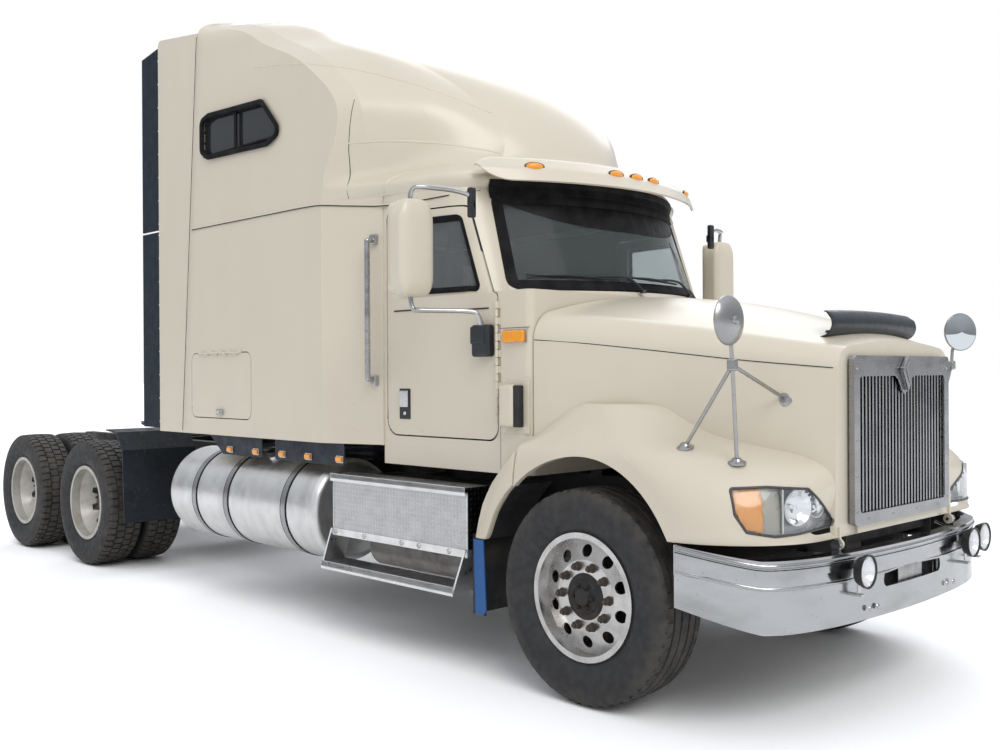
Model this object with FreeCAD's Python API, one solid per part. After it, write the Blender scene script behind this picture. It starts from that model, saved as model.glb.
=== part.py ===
import FreeCAD, Part
import math
import os

os.makedirs("parts", exist_ok=True)
V = FreeCAD.Vector

# Semi truck tractor unit. Millimetres. +X is forward, +Y the truck's left, +Z up.
# Everything is drawn with x = 0 at the front axle, and moved to the row frame on saving.
FRONT_AXLE_X = 3000.0

# ---- sizes --------------------------------------------------------------------------
GAP = 5.0                 # running clearance of everything that moves
SEAT = 0.3                # clearance of curved faces that belong together

WHEELBASE = 5986.0        # front axle to the middle of the tandem
TANDEM = 1320.0           # between the two drive axles
AXLE_Z = 503.0            # axle height, the loaded tyre radius
TYRE_R = 503.0
TYRE_W = 292.0
RIM_R = 292.0             # bead seat
RIM_FLANGE_R = 299.0
RIM_W = 250.0
BARREL_T = 20.0
DISC_T = 14.0
FRONT_WHEEL_Y = 1025.0    # middle of the front tyre
DUAL_OUT_Y = 1075.0       # middle of the outer twin tyre
DUAL_PITCH = 340.0        # between the twin tyres
HUB_R = 105.0
HAND_HOLE_R = 29.0
HAND_HOLE_PCR = 212.0
HAND_HOLES = 10

RAIL_Y = 430.0            # outside of the frame rails
RAIL_FLANGE = 80.0
RAIL_T = 8.0
RAIL_Z0 = 720.0
RAIL_H = 265.0
RAIL_X0 = -7120.0
RAIL_X1 = 940.0

KINGPIN_Y = 800.0
KINGPIN_R = 28.0
EYE_R = 60.0
EYE_H = 126.0
SPINDLE_R = 40.0
SPINDLE_X1 = 1060.0       # outer end of the spindle, across the truck
ARM_X = -250.0            # tie rod pivot behind the axle
STUD_R = 12.0
TIE_R = 18.0
TIE_Z = 372.0

CAB_Y = 1050.0            # outside of the cab wall
CAB_REAR = -1580.0
CAB_FRONT = -412.0
CAB_BOTTOM = 1029.0
CAB_BELT = 1960.0
ROOF_SEAM = 2556.0
CAB_WALL = 46.0
CAB_CORNER = 40.0        # front corners of the cab below the belt
SKIN = 45.0               # sleeper and roof wall

SLEEPER_Y = 1190.0
SLEEPER_BOTTOM = 1132.0
SEAM_X0 = -3688.0         # slanted rear edge of the sleeper, low end
SEAM_Z0 = 1145.0
SEAM_X1 = -3457.0         # high end
SEAM_Z1 = 3886.0

DOOR_X0 = -1546.0
DOOR_X1 = -647.0
DOOR_Z0 = 1198.0
DOOR_Z1 = 2445.0
DOOR_GAP = 8.0
DOOR_T = 50.0
HINGE_X = -640.0
HINGE_Z0 = 1290.0
HINGE_LEN = 620.0
HINGE_SEGMENTS = 15
LEAF = 20.0               # hinge leaf width and thickness
LEAF_T = 6.0
BARREL_R = 9.0
HINGE_PIN = 4.5
HINGE_OUT = 12.0          # door hinge line outside the cab wall
GLASS_T = 6.0
GLASS_IN = 22.0           # door glass under the door's face
DOOR_TOP_X = -990.0       # front upper corner of the door

FENDER_REAR = -560.0      # rear edge of the hood's fender at its foot
ARCH_R = 578.0            # wheel arch, clear of the steered wheel
ARCH_Z = 576.0
BUMPER_T = 10.0
BUMPER_Z0 = 452.0
BUMPER_Z1 = 760.0
HOOD_PIVOT_X = 974.0
HOOD_PIVOT_Z = 790.0
HINGE_EYE_R = 24.0
HINGE_PIN_R = 8.0
HINGE_T = 16.0
LUG_Y = 560.0             # hood hinge eyes, across the truck

DRIVER_Y = 500.0          # middle of the driver's seat and of the steering column

FIFTH_X = -5650.0
FIFTH_TOP = 1112.0
TILT_Z = 1050.0

# ---- helpers ------------------------------------------------------------------------
def box(x0, x1, y0, y1, z0, z1):
    return Part.makeBox(x1 - x0, y1 - y0, z1 - z0, V(x0, y0, z0))


def cyl(axis, r, a0, a1, b, c):
    """Cylinder along an axis from a0 to a1; b, c are the other two coordinates."""
    if axis == "x":
        return Part.makeCylinder(r, a1 - a0, V(a0, b, c), V(1, 0, 0))
    if axis == "y":
        return Part.makeCylinder(r, a1 - a0, V(b, a0, c), V(0, 1, 0))
    return Part.makeCylinder(r, a1 - a0, V(b, c, a0), V(0, 0, 1))


def place(plane, a, b, c):
    """Point (a, b) of a drawing plane at height c of its normal."""
    if plane == "xy":
        return V(a, b, c)
    if plane == "xz":
        return V(a, c, b)
    return V(c, a, b)


def outline(points, radii, plane, at):
    """Closed wire of lines, each corner rounded to its radius."""
    n = len(points)
    if not isinstance(radii, (list, tuple)):
        radii = [radii] * n
    entry, exit_, mid = [], [], []
    for i in range(n):
        p = V(*points[i], 0)
        a = (V(*points[i - 1], 0) - p)
        b = (V(*points[(i + 1) % n], 0) - p)
        a.normalize()
        b.normalize()
        r = radii[i]
        half = a.getAngle(b) / 2.0
        if r <= 0 or abs(half - math.pi / 2) < 1e-6:
            entry.append(p)
            exit_.append(p)
            mid.append(None)
            continue
        t = r / math.tan(half)
        bis = a + b
        bis.normalize()
        centre = p + bis * (r / math.sin(half))
        entry.append(p + a * t)
        exit_.append(p + b * t)
        mid.append(centre - bis * r)
    edges = []
    for i in range(n):
        if mid[i] is not None:
            edges.append(Part.Arc(place(plane, entry[i].x, entry[i].y, at),
                                  place(plane, mid[i].x, mid[i].y, at),
                                  place(plane, exit_[i].x, exit_[i].y, at)).toShape())
        q = entry[(i + 1) % n]
        if (exit_[i] - q).Length > 1e-6:
            edges.append(Part.makeLine(place(plane, exit_[i].x, exit_[i].y, at),
                                       place(plane, q.x, q.y, at)))
    return Part.Wire(edges)


NORMAL = {"xy": V(0, 0, 1), "xz": V(0, 1, 0), "yz": V(1, 0, 0)}


def prism(points, radii, plane, a0, a1):
    """Extruded outline from a0 to a1 along the plane's normal."""
    return Part.Face(outline(points, radii, plane, a0)).extrude(NORMAL[plane] * (a1 - a0))


def loft(wires, ruled=False):
    return Part.makeLoft(wires, True, ruled)


def fuse(shapes):
    s = shapes[0]
    if len(shapes) > 1:
        s = s.multiFuse(shapes[1:])
    return s.removeSplitter()


def flip(shape):
    """The same piece on the other side of the truck."""
    return shape.mirror(V(0, 0, 0), V(0, 1, 0))


def both(shape):
    return fuse([shape, flip(shape)])


def pair(shape):
    """Left and right copies as two solids of one node."""
    return Part.makeCompound([shape, flip(shape)])


def group(shapes):
    solids = []
    for s in shapes:
        solids += s.Solids
    return Part.makeCompound(solids)


def grown(points, by):
    """Outline moved outward by a gap, for convex outlines drawn anticlockwise."""
    n = len(points)
    lines = []
    for i in range(n):
        (x0, z0), (x1, z1) = points[i], points[(i + 1) % n]
        d = math.hypot(x1 - x0, z1 - z0)
        nx, nz = (z1 - z0) / d, -(x1 - x0) / d
        lines.append(((x0 + nx * by, z0 + nz * by), (x1 - x0, z1 - z0)))
    out = []
    for i in range(n):
        (px, pz), (dx, dz) = lines[i - 1]
        (qx, qz), (ex, ez) = lines[i]
        det = dx * ez - dz * ex
        if abs(det) < 1e-9:
            out.append((qx, qz))
            continue
        t = ((qx - px) * ez - (qz - pz) * ex) / det
        out.append((px + dx * t, pz + dz * t))
    return out


def main(shape):
    """The largest solid, without the crumbs a cut leaves."""
    return max(shape.Solids, key=lambda a: a.Volume)


def hinge(length, segments, out, r, pin_r):
    """Barrel hinge along local Z from 0: the fixed side is at +X, the moving leaf at -X, outward is +Y.

    The faces of both sides lie at y = -out. Returns the fixed and the moving half."""
    step = length / segments
    fixed = [Part.makeCylinder(pin_r, length)]
    moving = []
    for i in range(segments):
        z0, h = i * step + GAP / 2, step - GAP
        barrel_ = Part.makeCylinder(r, h, V(0, 0, z0))
        if i % 2 == 0:
            fixed += [barrel_, box(0, LEAF, -out, -out + LEAF_T, z0, z0 + h),
                      box(0, r, -out, 0, z0, z0 + h)]
        else:
            leaf = fuse([barrel_, box(-LEAF, 0, -out, -out + LEAF_T, z0, z0 + h),
                         box(-r, 0, -out, 0, z0, z0 + h)])
            moving.append(leaf.cut(Part.makeCylinder(pin_r + SEAT, length)))
    return fuse(fixed), Part.makeCompound(moving)


def rod(points, r):
    """Round bar through points, with ball corners."""
    pieces = []
    for p, q in zip(points[:-1], points[1:]):
        a, b = V(*p), V(*q)
        pieces.append(Part.makeCylinder(r, (b - a).Length, a, b - a))
    for p in points[1:-1]:
        pieces.append(Part.makeSphere(r, V(*p)))
    return fuse(pieces)


def turned(profile, y):
    """Solid of revolution about the wheel axis; profile is (y offset, radius)."""
    pts = [V(0, y + a, AXLE_Z + r) for a, r in profile]
    face = Part.Face(Part.makePolygon(pts + pts[:1]))
    return face.revolve(V(0, 0, AXLE_Z), V(0, 1, 0), 360)


def save(name, shape):
    shape = shape.copy()
    shape.translate(V(FRONT_AXLE_X, 0, 0))
    if len(shape.Solids) == 1:
        shape = shape.Solids[0]
    shape.exportStep("parts/" + name + ".step")
    print(name, len(shape.Solids), round(shape.Volume / 1e6, 2), shape.isValid())


# ---- wheels -------------------------------------------------------------------------
def tyre(y):
    """Tyre of lines and arcs, turned about the axle; y is its middle."""
    w = TYRE_W / 2.0
    bead = RIM_W / 2.0 - 12.0

    def p(a, r):
        return V(0, y + a, AXLE_Z + r)
    over = RIM_FLANGE_R + 4.0
    wall = 0.42 * (TYRE_R - RIM_R)
    shoulder = TYRE_R - 20.0
    tread = w - 26.0
    edges = [
        Part.makeLine(p(bead, RIM_R), p(-bead, RIM_R)),
        Part.makeLine(p(-bead, RIM_R), p(-bead, over)),
        Part.Arc(p(-bead, over), p(-w, RIM_R + wall), p(-w + 14.0, shoulder)).toShape(),
        Part.makeLine(p(-w + 14.0, shoulder), p(-tread, TYRE_R - 6.0)),
        Part.Arc(p(-tread, TYRE_R - 6.0), p(0, TYRE_R), p(tread, TYRE_R - 6.0)).toShape(),
        Part.makeLine(p(tread, TYRE_R - 6.0), p(w - 14.0, shoulder)),
        Part.Arc(p(w - 14.0, shoulder), p(w, RIM_R + wall), p(bead, over)).toShape(),
        Part.makeLine(p(bead, over), p(bead, RIM_R)),
    ]
    return Part.Face(Part.Wire(edges)).revolve(V(0, 0, AXLE_Z), V(0, 1, 0), 360)


def barrel(y):
    """Rim barrel with its two flanges."""
    w = RIM_W / 2.0
    r0 = RIM_R - BARREL_T
    return turned([(-w, r0), (w, r0), (w, RIM_FLANGE_R), (w - 12.0, RIM_FLANGE_R),
                   (w - 12.0, RIM_R), (-w + 12.0, RIM_R), (-w + 12.0, RIM_FLANGE_R),
                   (-w, RIM_FLANGE_R)], y)


def hand_holes(y0, y1):
    holes = []
    for i in range(HAND_HOLES):
        a = 2 * math.pi * (i + 0.5) / HAND_HOLES
        holes.append(cyl("y", HAND_HOLE_R, y0, y1, HAND_HOLE_PCR * math.cos(a),
                         AXLE_Z + HAND_HOLE_PCR * math.sin(a)))
    return holes


HUB_BORE = SPINDLE_R + SEAT
DRIVE_TUBE_R = 58.0
DRIVE_BORE = DRIVE_TUBE_R + SEAT


def front_rim():
    """Front disc wheel on the left side, its face bulged outward, with the hub."""
    y = FRONT_WHEEL_Y
    face = 92.0
    r_in = RIM_R - BARREL_T + 2.0
    disc = turned([(face - 34.0, r_in), (face - 34.0 - DISC_T, r_in),
                   (face - DISC_T, 178.0), (face - DISC_T, HUB_R - 30.0),
                   (face, HUB_R - 30.0), (face, 170.0)], y)
    drum = turned([(-RIM_W / 2.0, HUB_R), (-RIM_W / 2.0, HUB_BORE),
                   (SPINDLE_X1 - y + GAP, HUB_BORE), (SPINDLE_X1 - y + GAP, 0.01),
                   (face + 12.0, 0.01), (face + 12.0, 66.0), (face - 8.0, HUB_R - 20.0),
                   (face - 8.0, HUB_R)], y)
    s = fuse([barrel(y), disc, drum])
    return s.cut(fuse(hand_holes(y - 20, y + 120)))


def dual_rims():
    """Twin rims of a drive wheel on the left side, bolted together on the hub."""
    out, inner = DUAL_OUT_Y, DUAL_OUT_Y - DUAL_PITCH
    mate = (out + inner) / 2.0
    r_in = RIM_R - BARREL_T + 2.0
    dish = 60.0
    outer_disc = turned([(dish, r_in), (dish - DISC_T, r_in), (mate - out, 176.0),
                         (mate - out, HUB_R - 20.0), (mate - out + DISC_T, HUB_R - 20.0),
                         (mate - out + DISC_T, 168.0)], out)
    inner_disc = turned([(-dish, r_in), (-dish + DISC_T, r_in), (mate - inner, 176.0),
                         (mate - inner, HUB_R - 20.0), (mate - inner - DISC_T, HUB_R - 20.0),
                         (mate - inner - DISC_T, 168.0)], inner)
    hub = turned([(-150.0, HUB_R), (-150.0, DRIVE_BORE), (-20.0, DRIVE_BORE), (-20.0, 0.01),
                  (150.0, 0.01), (150.0, 60.0), (135.0, 88.0), (20.0, 88.0), (20.0, HUB_R)], mate)
    s = fuse([barrel(out), barrel(inner), outer_disc, inner_disc, hub])
    return s.cut(fuse(hand_holes(mate - 140, mate + 140)))


DRIVE_X = (-WHEELBASE + TANDEM / 2.0, -WHEELBASE - TANDEM / 2.0)


def moved(shape, x):
    s = shape.copy()
    s.translate(V(x, 0, 0))
    return s


FRONT_TYRE = tyre(FRONT_WHEEL_Y)
FRONT_RIM = front_rim()
DUAL_TYRES = Part.makeCompound([tyre(DUAL_OUT_Y), tyre(DUAL_OUT_Y - DUAL_PITCH)])
DUAL_RIMS = dual_rims()

save("front_tyre_left", FRONT_TYRE)
save("front_tyre_right", flip(FRONT_TYRE))
save("front_rim_left", FRONT_RIM)
save("front_rim_right", flip(FRONT_RIM))
for axle, x in (("forward", DRIVE_X[0]), ("rear", DRIVE_X[1])):
    save("tyres_" + axle + "_left", moved(DUAL_TYRES, x))
    save("tyres_" + axle + "_right", moved(flip(DUAL_TYRES), x))
    save("rims_" + axle + "_left", moved(DUAL_RIMS, x))
    save("rims_" + axle + "_right", moved(flip(DUAL_RIMS), x))

# ---- frame --------------------------------------------------------------------------
RAIL_Z1 = RAIL_Z0 + RAIL_H
CROSS_X = (880.0, -1500.0, -2700.0, -4150.0, -5050.0, -5986.0, -6900.0)
CROSS_T = 60.0


def frame_rails():
    """Two channel rails and the crossmembers between them."""
    inner = RAIL_Y - RAIL_FLANGE
    t = RAIL_T
    channel = [(RAIL_Y, RAIL_Z0), (RAIL_Y, RAIL_Z1), (inner, RAIL_Z1), (inner, RAIL_Z1 - t),
               (RAIL_Y - t, RAIL_Z1 - t), (RAIL_Y - t, RAIL_Z0 + t), (inner, RAIL_Z0 + t),
               (inner, RAIL_Z0)]
    rail = prism(channel, 0, "yz", RAIL_X0, RAIL_X1)
    cross = [box(x - CROSS_T / 2, x + CROSS_T / 2, -RAIL_Y + t, RAIL_Y - t,
                 RAIL_Z0 + 40, RAIL_Z1 - 30) for x in CROSS_X]
    return fuse([rail, flip(rail)] + cross)


FRAME = frame_rails()
save("frame_rails", FRAME)

# ---- front axle, knuckles, tie rod --------------------------------------------------
SPRING_Y = 430.0
SPRING_W = 80.0
SPRING_HALF = 760.0
BEAM_H = 90.0
BEAM_Z = 430.0
YOKE_T = 26.0


def front_axle():
    """I beam with kingpin eyes, and the two leaf springs under the rails."""
    eye_z0, eye_z1 = AXLE_Z - EYE_H / 2, AXLE_Z + EYE_H / 2
    eye = cyl("z", EYE_R, eye_z0, eye_z1, 0, KINGPIN_Y)
    beam = prism([(-EYE_R - 20 + KINGPIN_Y, eye_z0 + 4), (KINGPIN_Y - 30, eye_z1 - 30),
                  (KINGPIN_Y - 120, eye_z1 - 30), (KINGPIN_Y - 250, BEAM_Z + BEAM_H),
                  (-KINGPIN_Y + 250, BEAM_Z + BEAM_H), (-KINGPIN_Y + 120, eye_z1 - 30),
                  (-KINGPIN_Y + 30, eye_z1 - 30), (EYE_R + 20 - KINGPIN_Y, eye_z0 + 4),
                  (EYE_R + 120 - KINGPIN_Y, BEAM_Z), (-EYE_R - 120 + KINGPIN_Y, BEAM_Z)],
                 0, "yz", -45, 45)
    bores = [cyl("z", KINGPIN_R + SEAT, eye_z0 - 1, eye_z1 + 1, 0, s * KINGPIN_Y) for s in (1, -1)]
    top = BEAM_Z + BEAM_H
    leaf = prism([(-SPRING_HALF, RAIL_Z0 - 40), (-SPRING_HALF, RAIL_Z0), (-SPRING_HALF + 60, RAIL_Z0),
                  (-120, top + 46), (120, top + 46), (SPRING_HALF - 60, RAIL_Z0),
                  (SPRING_HALF, RAIL_Z0), (SPRING_HALF, RAIL_Z0 - 40), (120, top), (-120, top)],
                 0, "xz", SPRING_Y - SPRING_W / 2, SPRING_Y + SPRING_W / 2)
    clamp = box(-70, 70, SPRING_Y - SPRING_W / 2 - 8, SPRING_Y + SPRING_W / 2 + 8, top, top + 70)
    s = fuse([eye, flip(eye), beam, leaf, flip(leaf), clamp, flip(clamp)])
    return s.cut(fuse(bores))


def knuckle():
    """Left steering knuckle: kingpin yoke, spindle and the tie rod arm."""
    y = KINGPIN_Y
    z0, z1 = AXLE_Z - EYE_H / 2 - GAP - 3, AXLE_Z + EYE_H / 2 + GAP + 3
    web = y + EYE_R + GAP + 3
    pin = cyl("z", KINGPIN_R, z0 - YOKE_T, z1 + YOKE_T, 0, y)
    yokes = [box(-50, 50, y - 40, web + 22, z1, z1 + YOKE_T),
             box(-50, 50, y - 40, web + 22, z0 - YOKE_T, z0),
             box(-50, 50, web, web + 22, z0 - YOKE_T, z1 + YOKE_T)]
    spindle = cyl("y", SPINDLE_R, web, SPINDLE_X1, 0, AXLE_Z)
    arm = box(ARM_X - 30, 0, y - 25, y + 25, z0 - YOKE_T, z0)
    stud = cyl("z", STUD_R, TIE_Z - 22, z0 - YOKE_T, ARM_X, y)
    return fuse([pin, spindle, arm, stud] + yokes)


def tie_rod():
    """Rod between the two knuckle arms, with an eye round each stud."""
    y = KINGPIN_Y
    eyes = [cyl("z", 34, TIE_Z - 16, TIE_Z + 16, ARM_X, s * y) for s in (1, -1)]
    bores = [cyl("z", STUD_R + SEAT, TIE_Z - 40, TIE_Z + 40, ARM_X, s * y) for s in (1, -1)]
    bar = cyl("y", 16, -y, y, ARM_X, TIE_Z)
    return fuse([bar] + eyes).cut(fuse(bores))


save("front_axle", front_axle())
save("knuckle_left", knuckle())
save("knuckle_right", flip(knuckle()))
save("tie_rod", tie_rod())

# ---- drive axles and driveline ------------------------------------------------------
BAG_R = 105.0
DIFF_R = 185.0


def drive_axles():
    """Two axle housings with differentials, air springs and trailing arms, and the shafts."""
    parts = []
    mate = DUAL_OUT_Y - DUAL_PITCH / 2
    end = mate - 20.0 - GAP
    for x in DRIVE_X:
        parts += [cyl("y", DRIVE_TUBE_R, -end, end, x, AXLE_Z),
                  Part.makeSphere(DIFF_R, V(x, 0, AXLE_Z)),
                  cyl("x", 90, x + 60, x + 300, 0, AXLE_Z)]
        for s in (1, -1):
            y = s * (RAIL_Y - RAIL_FLANGE / 2)
            parts += [box(x - 330, x + 330, y - 45, y + 45, AXLE_Z + DRIVE_TUBE_R - 20, AXLE_Z + DRIVE_TUBE_R + 40),
                      cyl("z", BAG_R, AXLE_Z + DRIVE_TUBE_R + 30, RAIL_Z0, x - 220, y),
                      box(x + 250, x + 330, y - 40, y + 40, AXLE_Z + DRIVE_TUBE_R, RAIL_Z0)]
    parts.append(rod([(DRIVE_X[0] + 280, 0, AXLE_Z), (GEARBOX_X0 - SEAT - 6, 0, SHAFT_Z)], 48))
    parts.append(cyl("x", 48, DRIVE_X[1] + 250, DRIVE_X[0] - 100, 0, AXLE_Z))
    return fuse(parts)


GEARBOX_X0 = -1450.0
ENGINE_X0 = -395.0
ENGINE_X1 = 620.0
ENGINE_Y = 325.0
ENGINE_Z0 = 625.0
ENGINE_Z1 = 1480.0
SHAFT_Z = 640.0


def engine_block():
    """Plain engine block with the gearbox behind it, on mounts between the rails."""
    block = box(ENGINE_X0, ENGINE_X1, -ENGINE_Y, ENGINE_Y, ENGINE_Z0, ENGINE_Z1)
    gearbox = box(GEARBOX_X0, ENGINE_X0, -230, 230, ENGINE_Z0 - 40, 985)
    mounts = [box(x, x + 90, -RAIL_Y + RAIL_T, RAIL_Y - RAIL_T, RAIL_Z0 + 60, RAIL_Z1 - 60)
              for x in (ENGINE_X0 + 80, ENGINE_X1 - 200)]
    return fuse([block, gearbox] + mounts)


save("drive_axles", drive_axles())
save("engine_block", engine_block().cut(FRAME))
RADIATOR = box(735, 835, -430, 430, RAIL_Z1, 1530)
save("radiator", RADIATOR)

# ---- front bumper -------------------------------------------------------------------
# half plan line of the bumper face, from the middle to the end: x, y
BUMPER_PLAN = ((1056.0, 0.0), (1045.0, 330.0), (1015.0, 640.0), (970.0, 850.0),
               (905.0, 985.0), (800.0, 1075.0), (560.0, 1190.0))
CREASE_Z = 690.0
CREASE = 8.0
LIP_W = 55.0
LIP_T = 10.0
TOW_HALF = 300.0
TOW_Z0 = 575.0
TOW_Z1 = 650.0


def bumper_band(out, thick, z0, z1):
    """Band that follows the plan line, its face moved outward by out."""
    def line(off):
        right = []
        n = len(BUMPER_PLAN)
        for i, (x, y) in enumerate(BUMPER_PLAN):
            a = BUMPER_PLAN[max(i - 1, 0)]
            b = BUMPER_PLAN[min(i + 1, n - 1)]
            tx, ty = b[0] - a[0], b[1] - a[1]
            if i == 0:
                tx, ty = 0.0, 1.0
            d = math.hypot(tx, ty)
            nx, ny = ty / d, -tx / d
            right.append((x + nx * off, y + ny * off))
        return right
    face = line(out)
    back = line(out - thick)
    pts = [(x, -y) for x, y in reversed(face)] + face[1:]
    inn = [(x, -y) for x, y in reversed(back)] + back[1:]
    front = Part.BSplineCurve()
    front.interpolate([V(x, y, z0) for x, y in pts])
    rear = Part.BSplineCurve()
    rear.interpolate([V(x, y, z0) for x, y in inn])
    edges = [front.toShape(), Part.makeLine(V(*pts[-1], z0), V(*inn[-1], z0)),
             rear.toShape(), Part.makeLine(V(*inn[0], z0), V(*pts[0], z0))]
    return Part.Face(Part.Wire(Part.__sortEdges__(edges))).extrude(V(0, 0, z1 - z0))


END_RISE_X = 880.0        # the bumper's lower and upper edges rise behind here
TOP_RISE = 65.0
LOW_RISE = 115.0


def bumper_room():
    """Side view of the bumper: everything outside it is cut away."""
    end = BUMPER_PLAN[-1][0]
    return prism([(end - 60, BUMPER_Z0 + LOW_RISE), (END_RISE_X, BUMPER_Z0), (1200, BUMPER_Z0),
                  (1200, BUMPER_Z1), (END_RISE_X, BUMPER_Z1), (end - 60, BUMPER_Z1 + TOP_RISE)],
                 0, "xz", -1400, 1400)


def front_bumper():
    low = bumper_band(0, BUMPER_T, BUMPER_Z0 - 5, CREASE_Z)
    high = bumper_band(CREASE, BUMPER_T + CREASE, CREASE_Z - 1, BUMPER_Z1 + TOP_RISE + 5)
    shell = fuse([low, high]).common(bumper_room())
    lip = bumper_band(0, LIP_W, BUMPER_Z1 - LIP_T, BUMPER_Z1)
    lip = lip.common(box(END_RISE_X, 1200, -1400, 1400, 0, 2000))
    slot = prism([(-TOW_HALF, TOW_Z0), (TOW_HALF, TOW_Z0), (TOW_HALF - 20, TOW_Z1), (-TOW_HALF + 20, TOW_Z1)],
                 30, "yz", 900, 1200)
    brackets = []
    for s in (1, -1):
        y = s * (RAIL_Y - 45)
        brackets.append(box(RAIL_X1, 1050, y - 40, y + 40, RAIL_Z0 + 5, RAIL_Z1 - 245))
        brackets.append(box(RAIL_X1, 1005, y - 40, y + 40, RAIL_Z0 - 220, RAIL_Z1 - 245))
    inside = prism([(x, y) for x, y in BUMPER_PLAN[:4]] + [(800, 850), (800, -850)]
                   + [(x, -y) for x, y in reversed(BUMPER_PLAN[1:4])], 0, "xy", 0, 2000)
    brackets = [b.common(inside) for b in brackets]
    plate = box(1018, 1030, -90, 90, TOW_Z0 - 40, TOW_Z1 + 40)
    posts = [box(1018, 1046, s * 70 - 12, s * 70 + 12, TOW_Z1 + 5, TOW_Z1 + 40) for s in (1, -1)]
    ears = []
    for s in (1, -1):
        y = s * (LUG_Y + HINGE_T + GAP)
        ears += [cyl("y", HINGE_EYE_R - 2, y - HINGE_T / 2, y + HINGE_T / 2, HOOD_PIVOT_X, HOOD_PIVOT_Z),
                 box(HOOD_PIVOT_X - 18, HOOD_PIVOT_X + 18, y - HINGE_T / 2, y + HINGE_T / 2,
                     BUMPER_Z1 - LIP_T, HOOD_PIVOT_Z),
                 cyl("y", HINGE_PIN_R, min(y, s * (LUG_Y - HINGE_T)), max(y, s * (LUG_Y - HINGE_T)),
                     HOOD_PIVOT_X, HOOD_PIVOT_Z)]
    s = fuse([shell, lip] + brackets).cut(slot)
    return fuse([s, plate] + posts + ears)


BUMPER = front_bumper()
save("front_bumper", BUMPER)

# ---- cab, sleeper and roof ----------------------------------------------------------
def rear_x(z):
    """Slanted rear edge of the sleeper at height z."""
    return SEAM_X0 + (z - SEAM_Z0) * (SEAM_X1 - SEAM_X0) / (SEAM_Z1 - SEAM_Z0)


def corner_mid(from_, at, to):
    """Middle point of the arc that leaves the line from_-at smoothly and ends at to."""
    ux, uy = at[0] - from_[0], at[1] - from_[1]
    vx, vy = to[0] - at[0], to[1] - at[1]
    u, v = math.hypot(ux, uy), math.hypot(vx, vy)
    turn = math.acos(max(-1.0, min(1.0, (ux * vx + uy * vy) / (u * v))))
    rise = v / 2 * math.tan(turn / 2)
    nx, ny = -vy / v, vx / v
    if nx * ux + ny * uy < 0:
        nx, ny = -nx, -ny
    return (at[0] + to[0]) / 2 + nx * rise, (at[1] + to[1]) / 2 + ny * rise


def shell_section(row, z, inset=0.0, rear=None):
    """Plan outline: rear, side, shoulder, flank, corner arc and front arc."""
    rear_y, side_x, side_y, neck_x, neck_y, cab_x, cab_y, corner_x, corner_y, tip_x = row
    i = inset
    xr = (rear_x(z) if rear is None else rear) + i
    rear_y, side_y, neck_y, cab_y = rear_y - i, side_y - i, neck_y - i, cab_y - i
    corner_x, corner_y = corner_x - i * 0.7, corner_y - i * 0.7
    neck_x, cab_x, tip_x = neck_x - i * 0.3, cab_x - i * 0.4, tip_x - i

    def half(s):
        mx, my = corner_mid((neck_x, neck_y), (cab_x, cab_y), (corner_x, corner_y))
        return [Part.makeLine(V(xr, s * rear_y, z), V(side_x, s * side_y, z)),
                Part.makeLine(V(side_x, s * side_y, z), V(neck_x, s * neck_y, z)),
                Part.makeLine(V(neck_x, s * neck_y, z), V(cab_x, s * cab_y, z)),
                Part.Arc(V(cab_x, s * cab_y, z), V(mx, s * my, z), V(corner_x, s * corner_y, z)).toShape()]
    right = half(-1)
    left = half(1)
    front = Part.Arc(V(corner_x, -corner_y, z), V(tip_x, 0, z), V(corner_x, corner_y, z)).toShape()
    back = Part.makeLine(V(xr, rear_y, z), V(xr, -rear_y, z))
    return Part.Wire(Part.__sortEdges__([back] + right + [front] + left))


# height: rear_y, side_x, side_y, neck_x, neck_y, cab_x, cab_y, corner_x, corner_y, tip_x
ROOF = (
    (2556.0, (1190, -2000, 1190, -1600, 1062, -1150, 990, -965, 790, -660)),
    (2660.0, (1190, -1980, 1190, -1590, 1040, -1190, 950, -1010, 740, -720)),
    (2750.0, (1190, -1950, 1190, -1640, 985, -1340, 830, -1130, 560, -920)),
    (2870.0, (1190, -1880, 1190, -1690, 1060, -1380, 800, -1145, 500, -1000)),
    (3070.0, (1190, -1830, 1190, -1700, 1110, -1460, 850, -1270, 520, -1120)),
    (3310.0, (1190, -2030, 1190, -1900, 1110, -1700, 900, -1540, 620, -1370)),
    (3500.0, (1190, -2320, 1185, -2170, 1110, -1990, 950, -1870, 740, -1745)),
    (3660.0, (1188, -2680, 1170, -2510, 1100, -2330, 960, -2230, 780, -2150)),
    (3770.0, (1190, -2880, 1165, -2720, 1090, -2540, 950, -2450, 780, -2410)),
    (3860.0, (1188, -3160, 1150, -2960, 1070, -2780, 930, -2690, 760, -2650)),
    (3930.0, (1165, -3400, 1120, -3230, 1020, -3040, 880, -2950, 720, -2850)),
    (3985.0, (1060, -3430, 1020, -3360, 920, -3260, 780, -3190, 620, -3010)),
    (4015.0, (900, -3440, 860, -3420, 780, -3380, 660, -3340, 500, -3190)),
)
ROOF_INNER_ROWS = 10


def roof_form(inset, drop):
    """Roof and nose; the inner form stops short of the crown."""
    rows = ROOF[:ROOF_INNER_ROWS] if inset else ROOF
    s = loft([shell_section(r, z, inset) for z, r in rows])
    s.translate(V(0, 0, -drop))
    return s


def roof_fairing():
    """Roof skin, open below, with the side windows cut out."""
    s = ROOF_OUT.cut(roof_form(SKIN, SKIN))
    return main(s.cut(fuse([SIDE_WINDOW, flip(SIDE_WINDOW)])))


ROOF_OUT = roof_form(0, 0)

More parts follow.
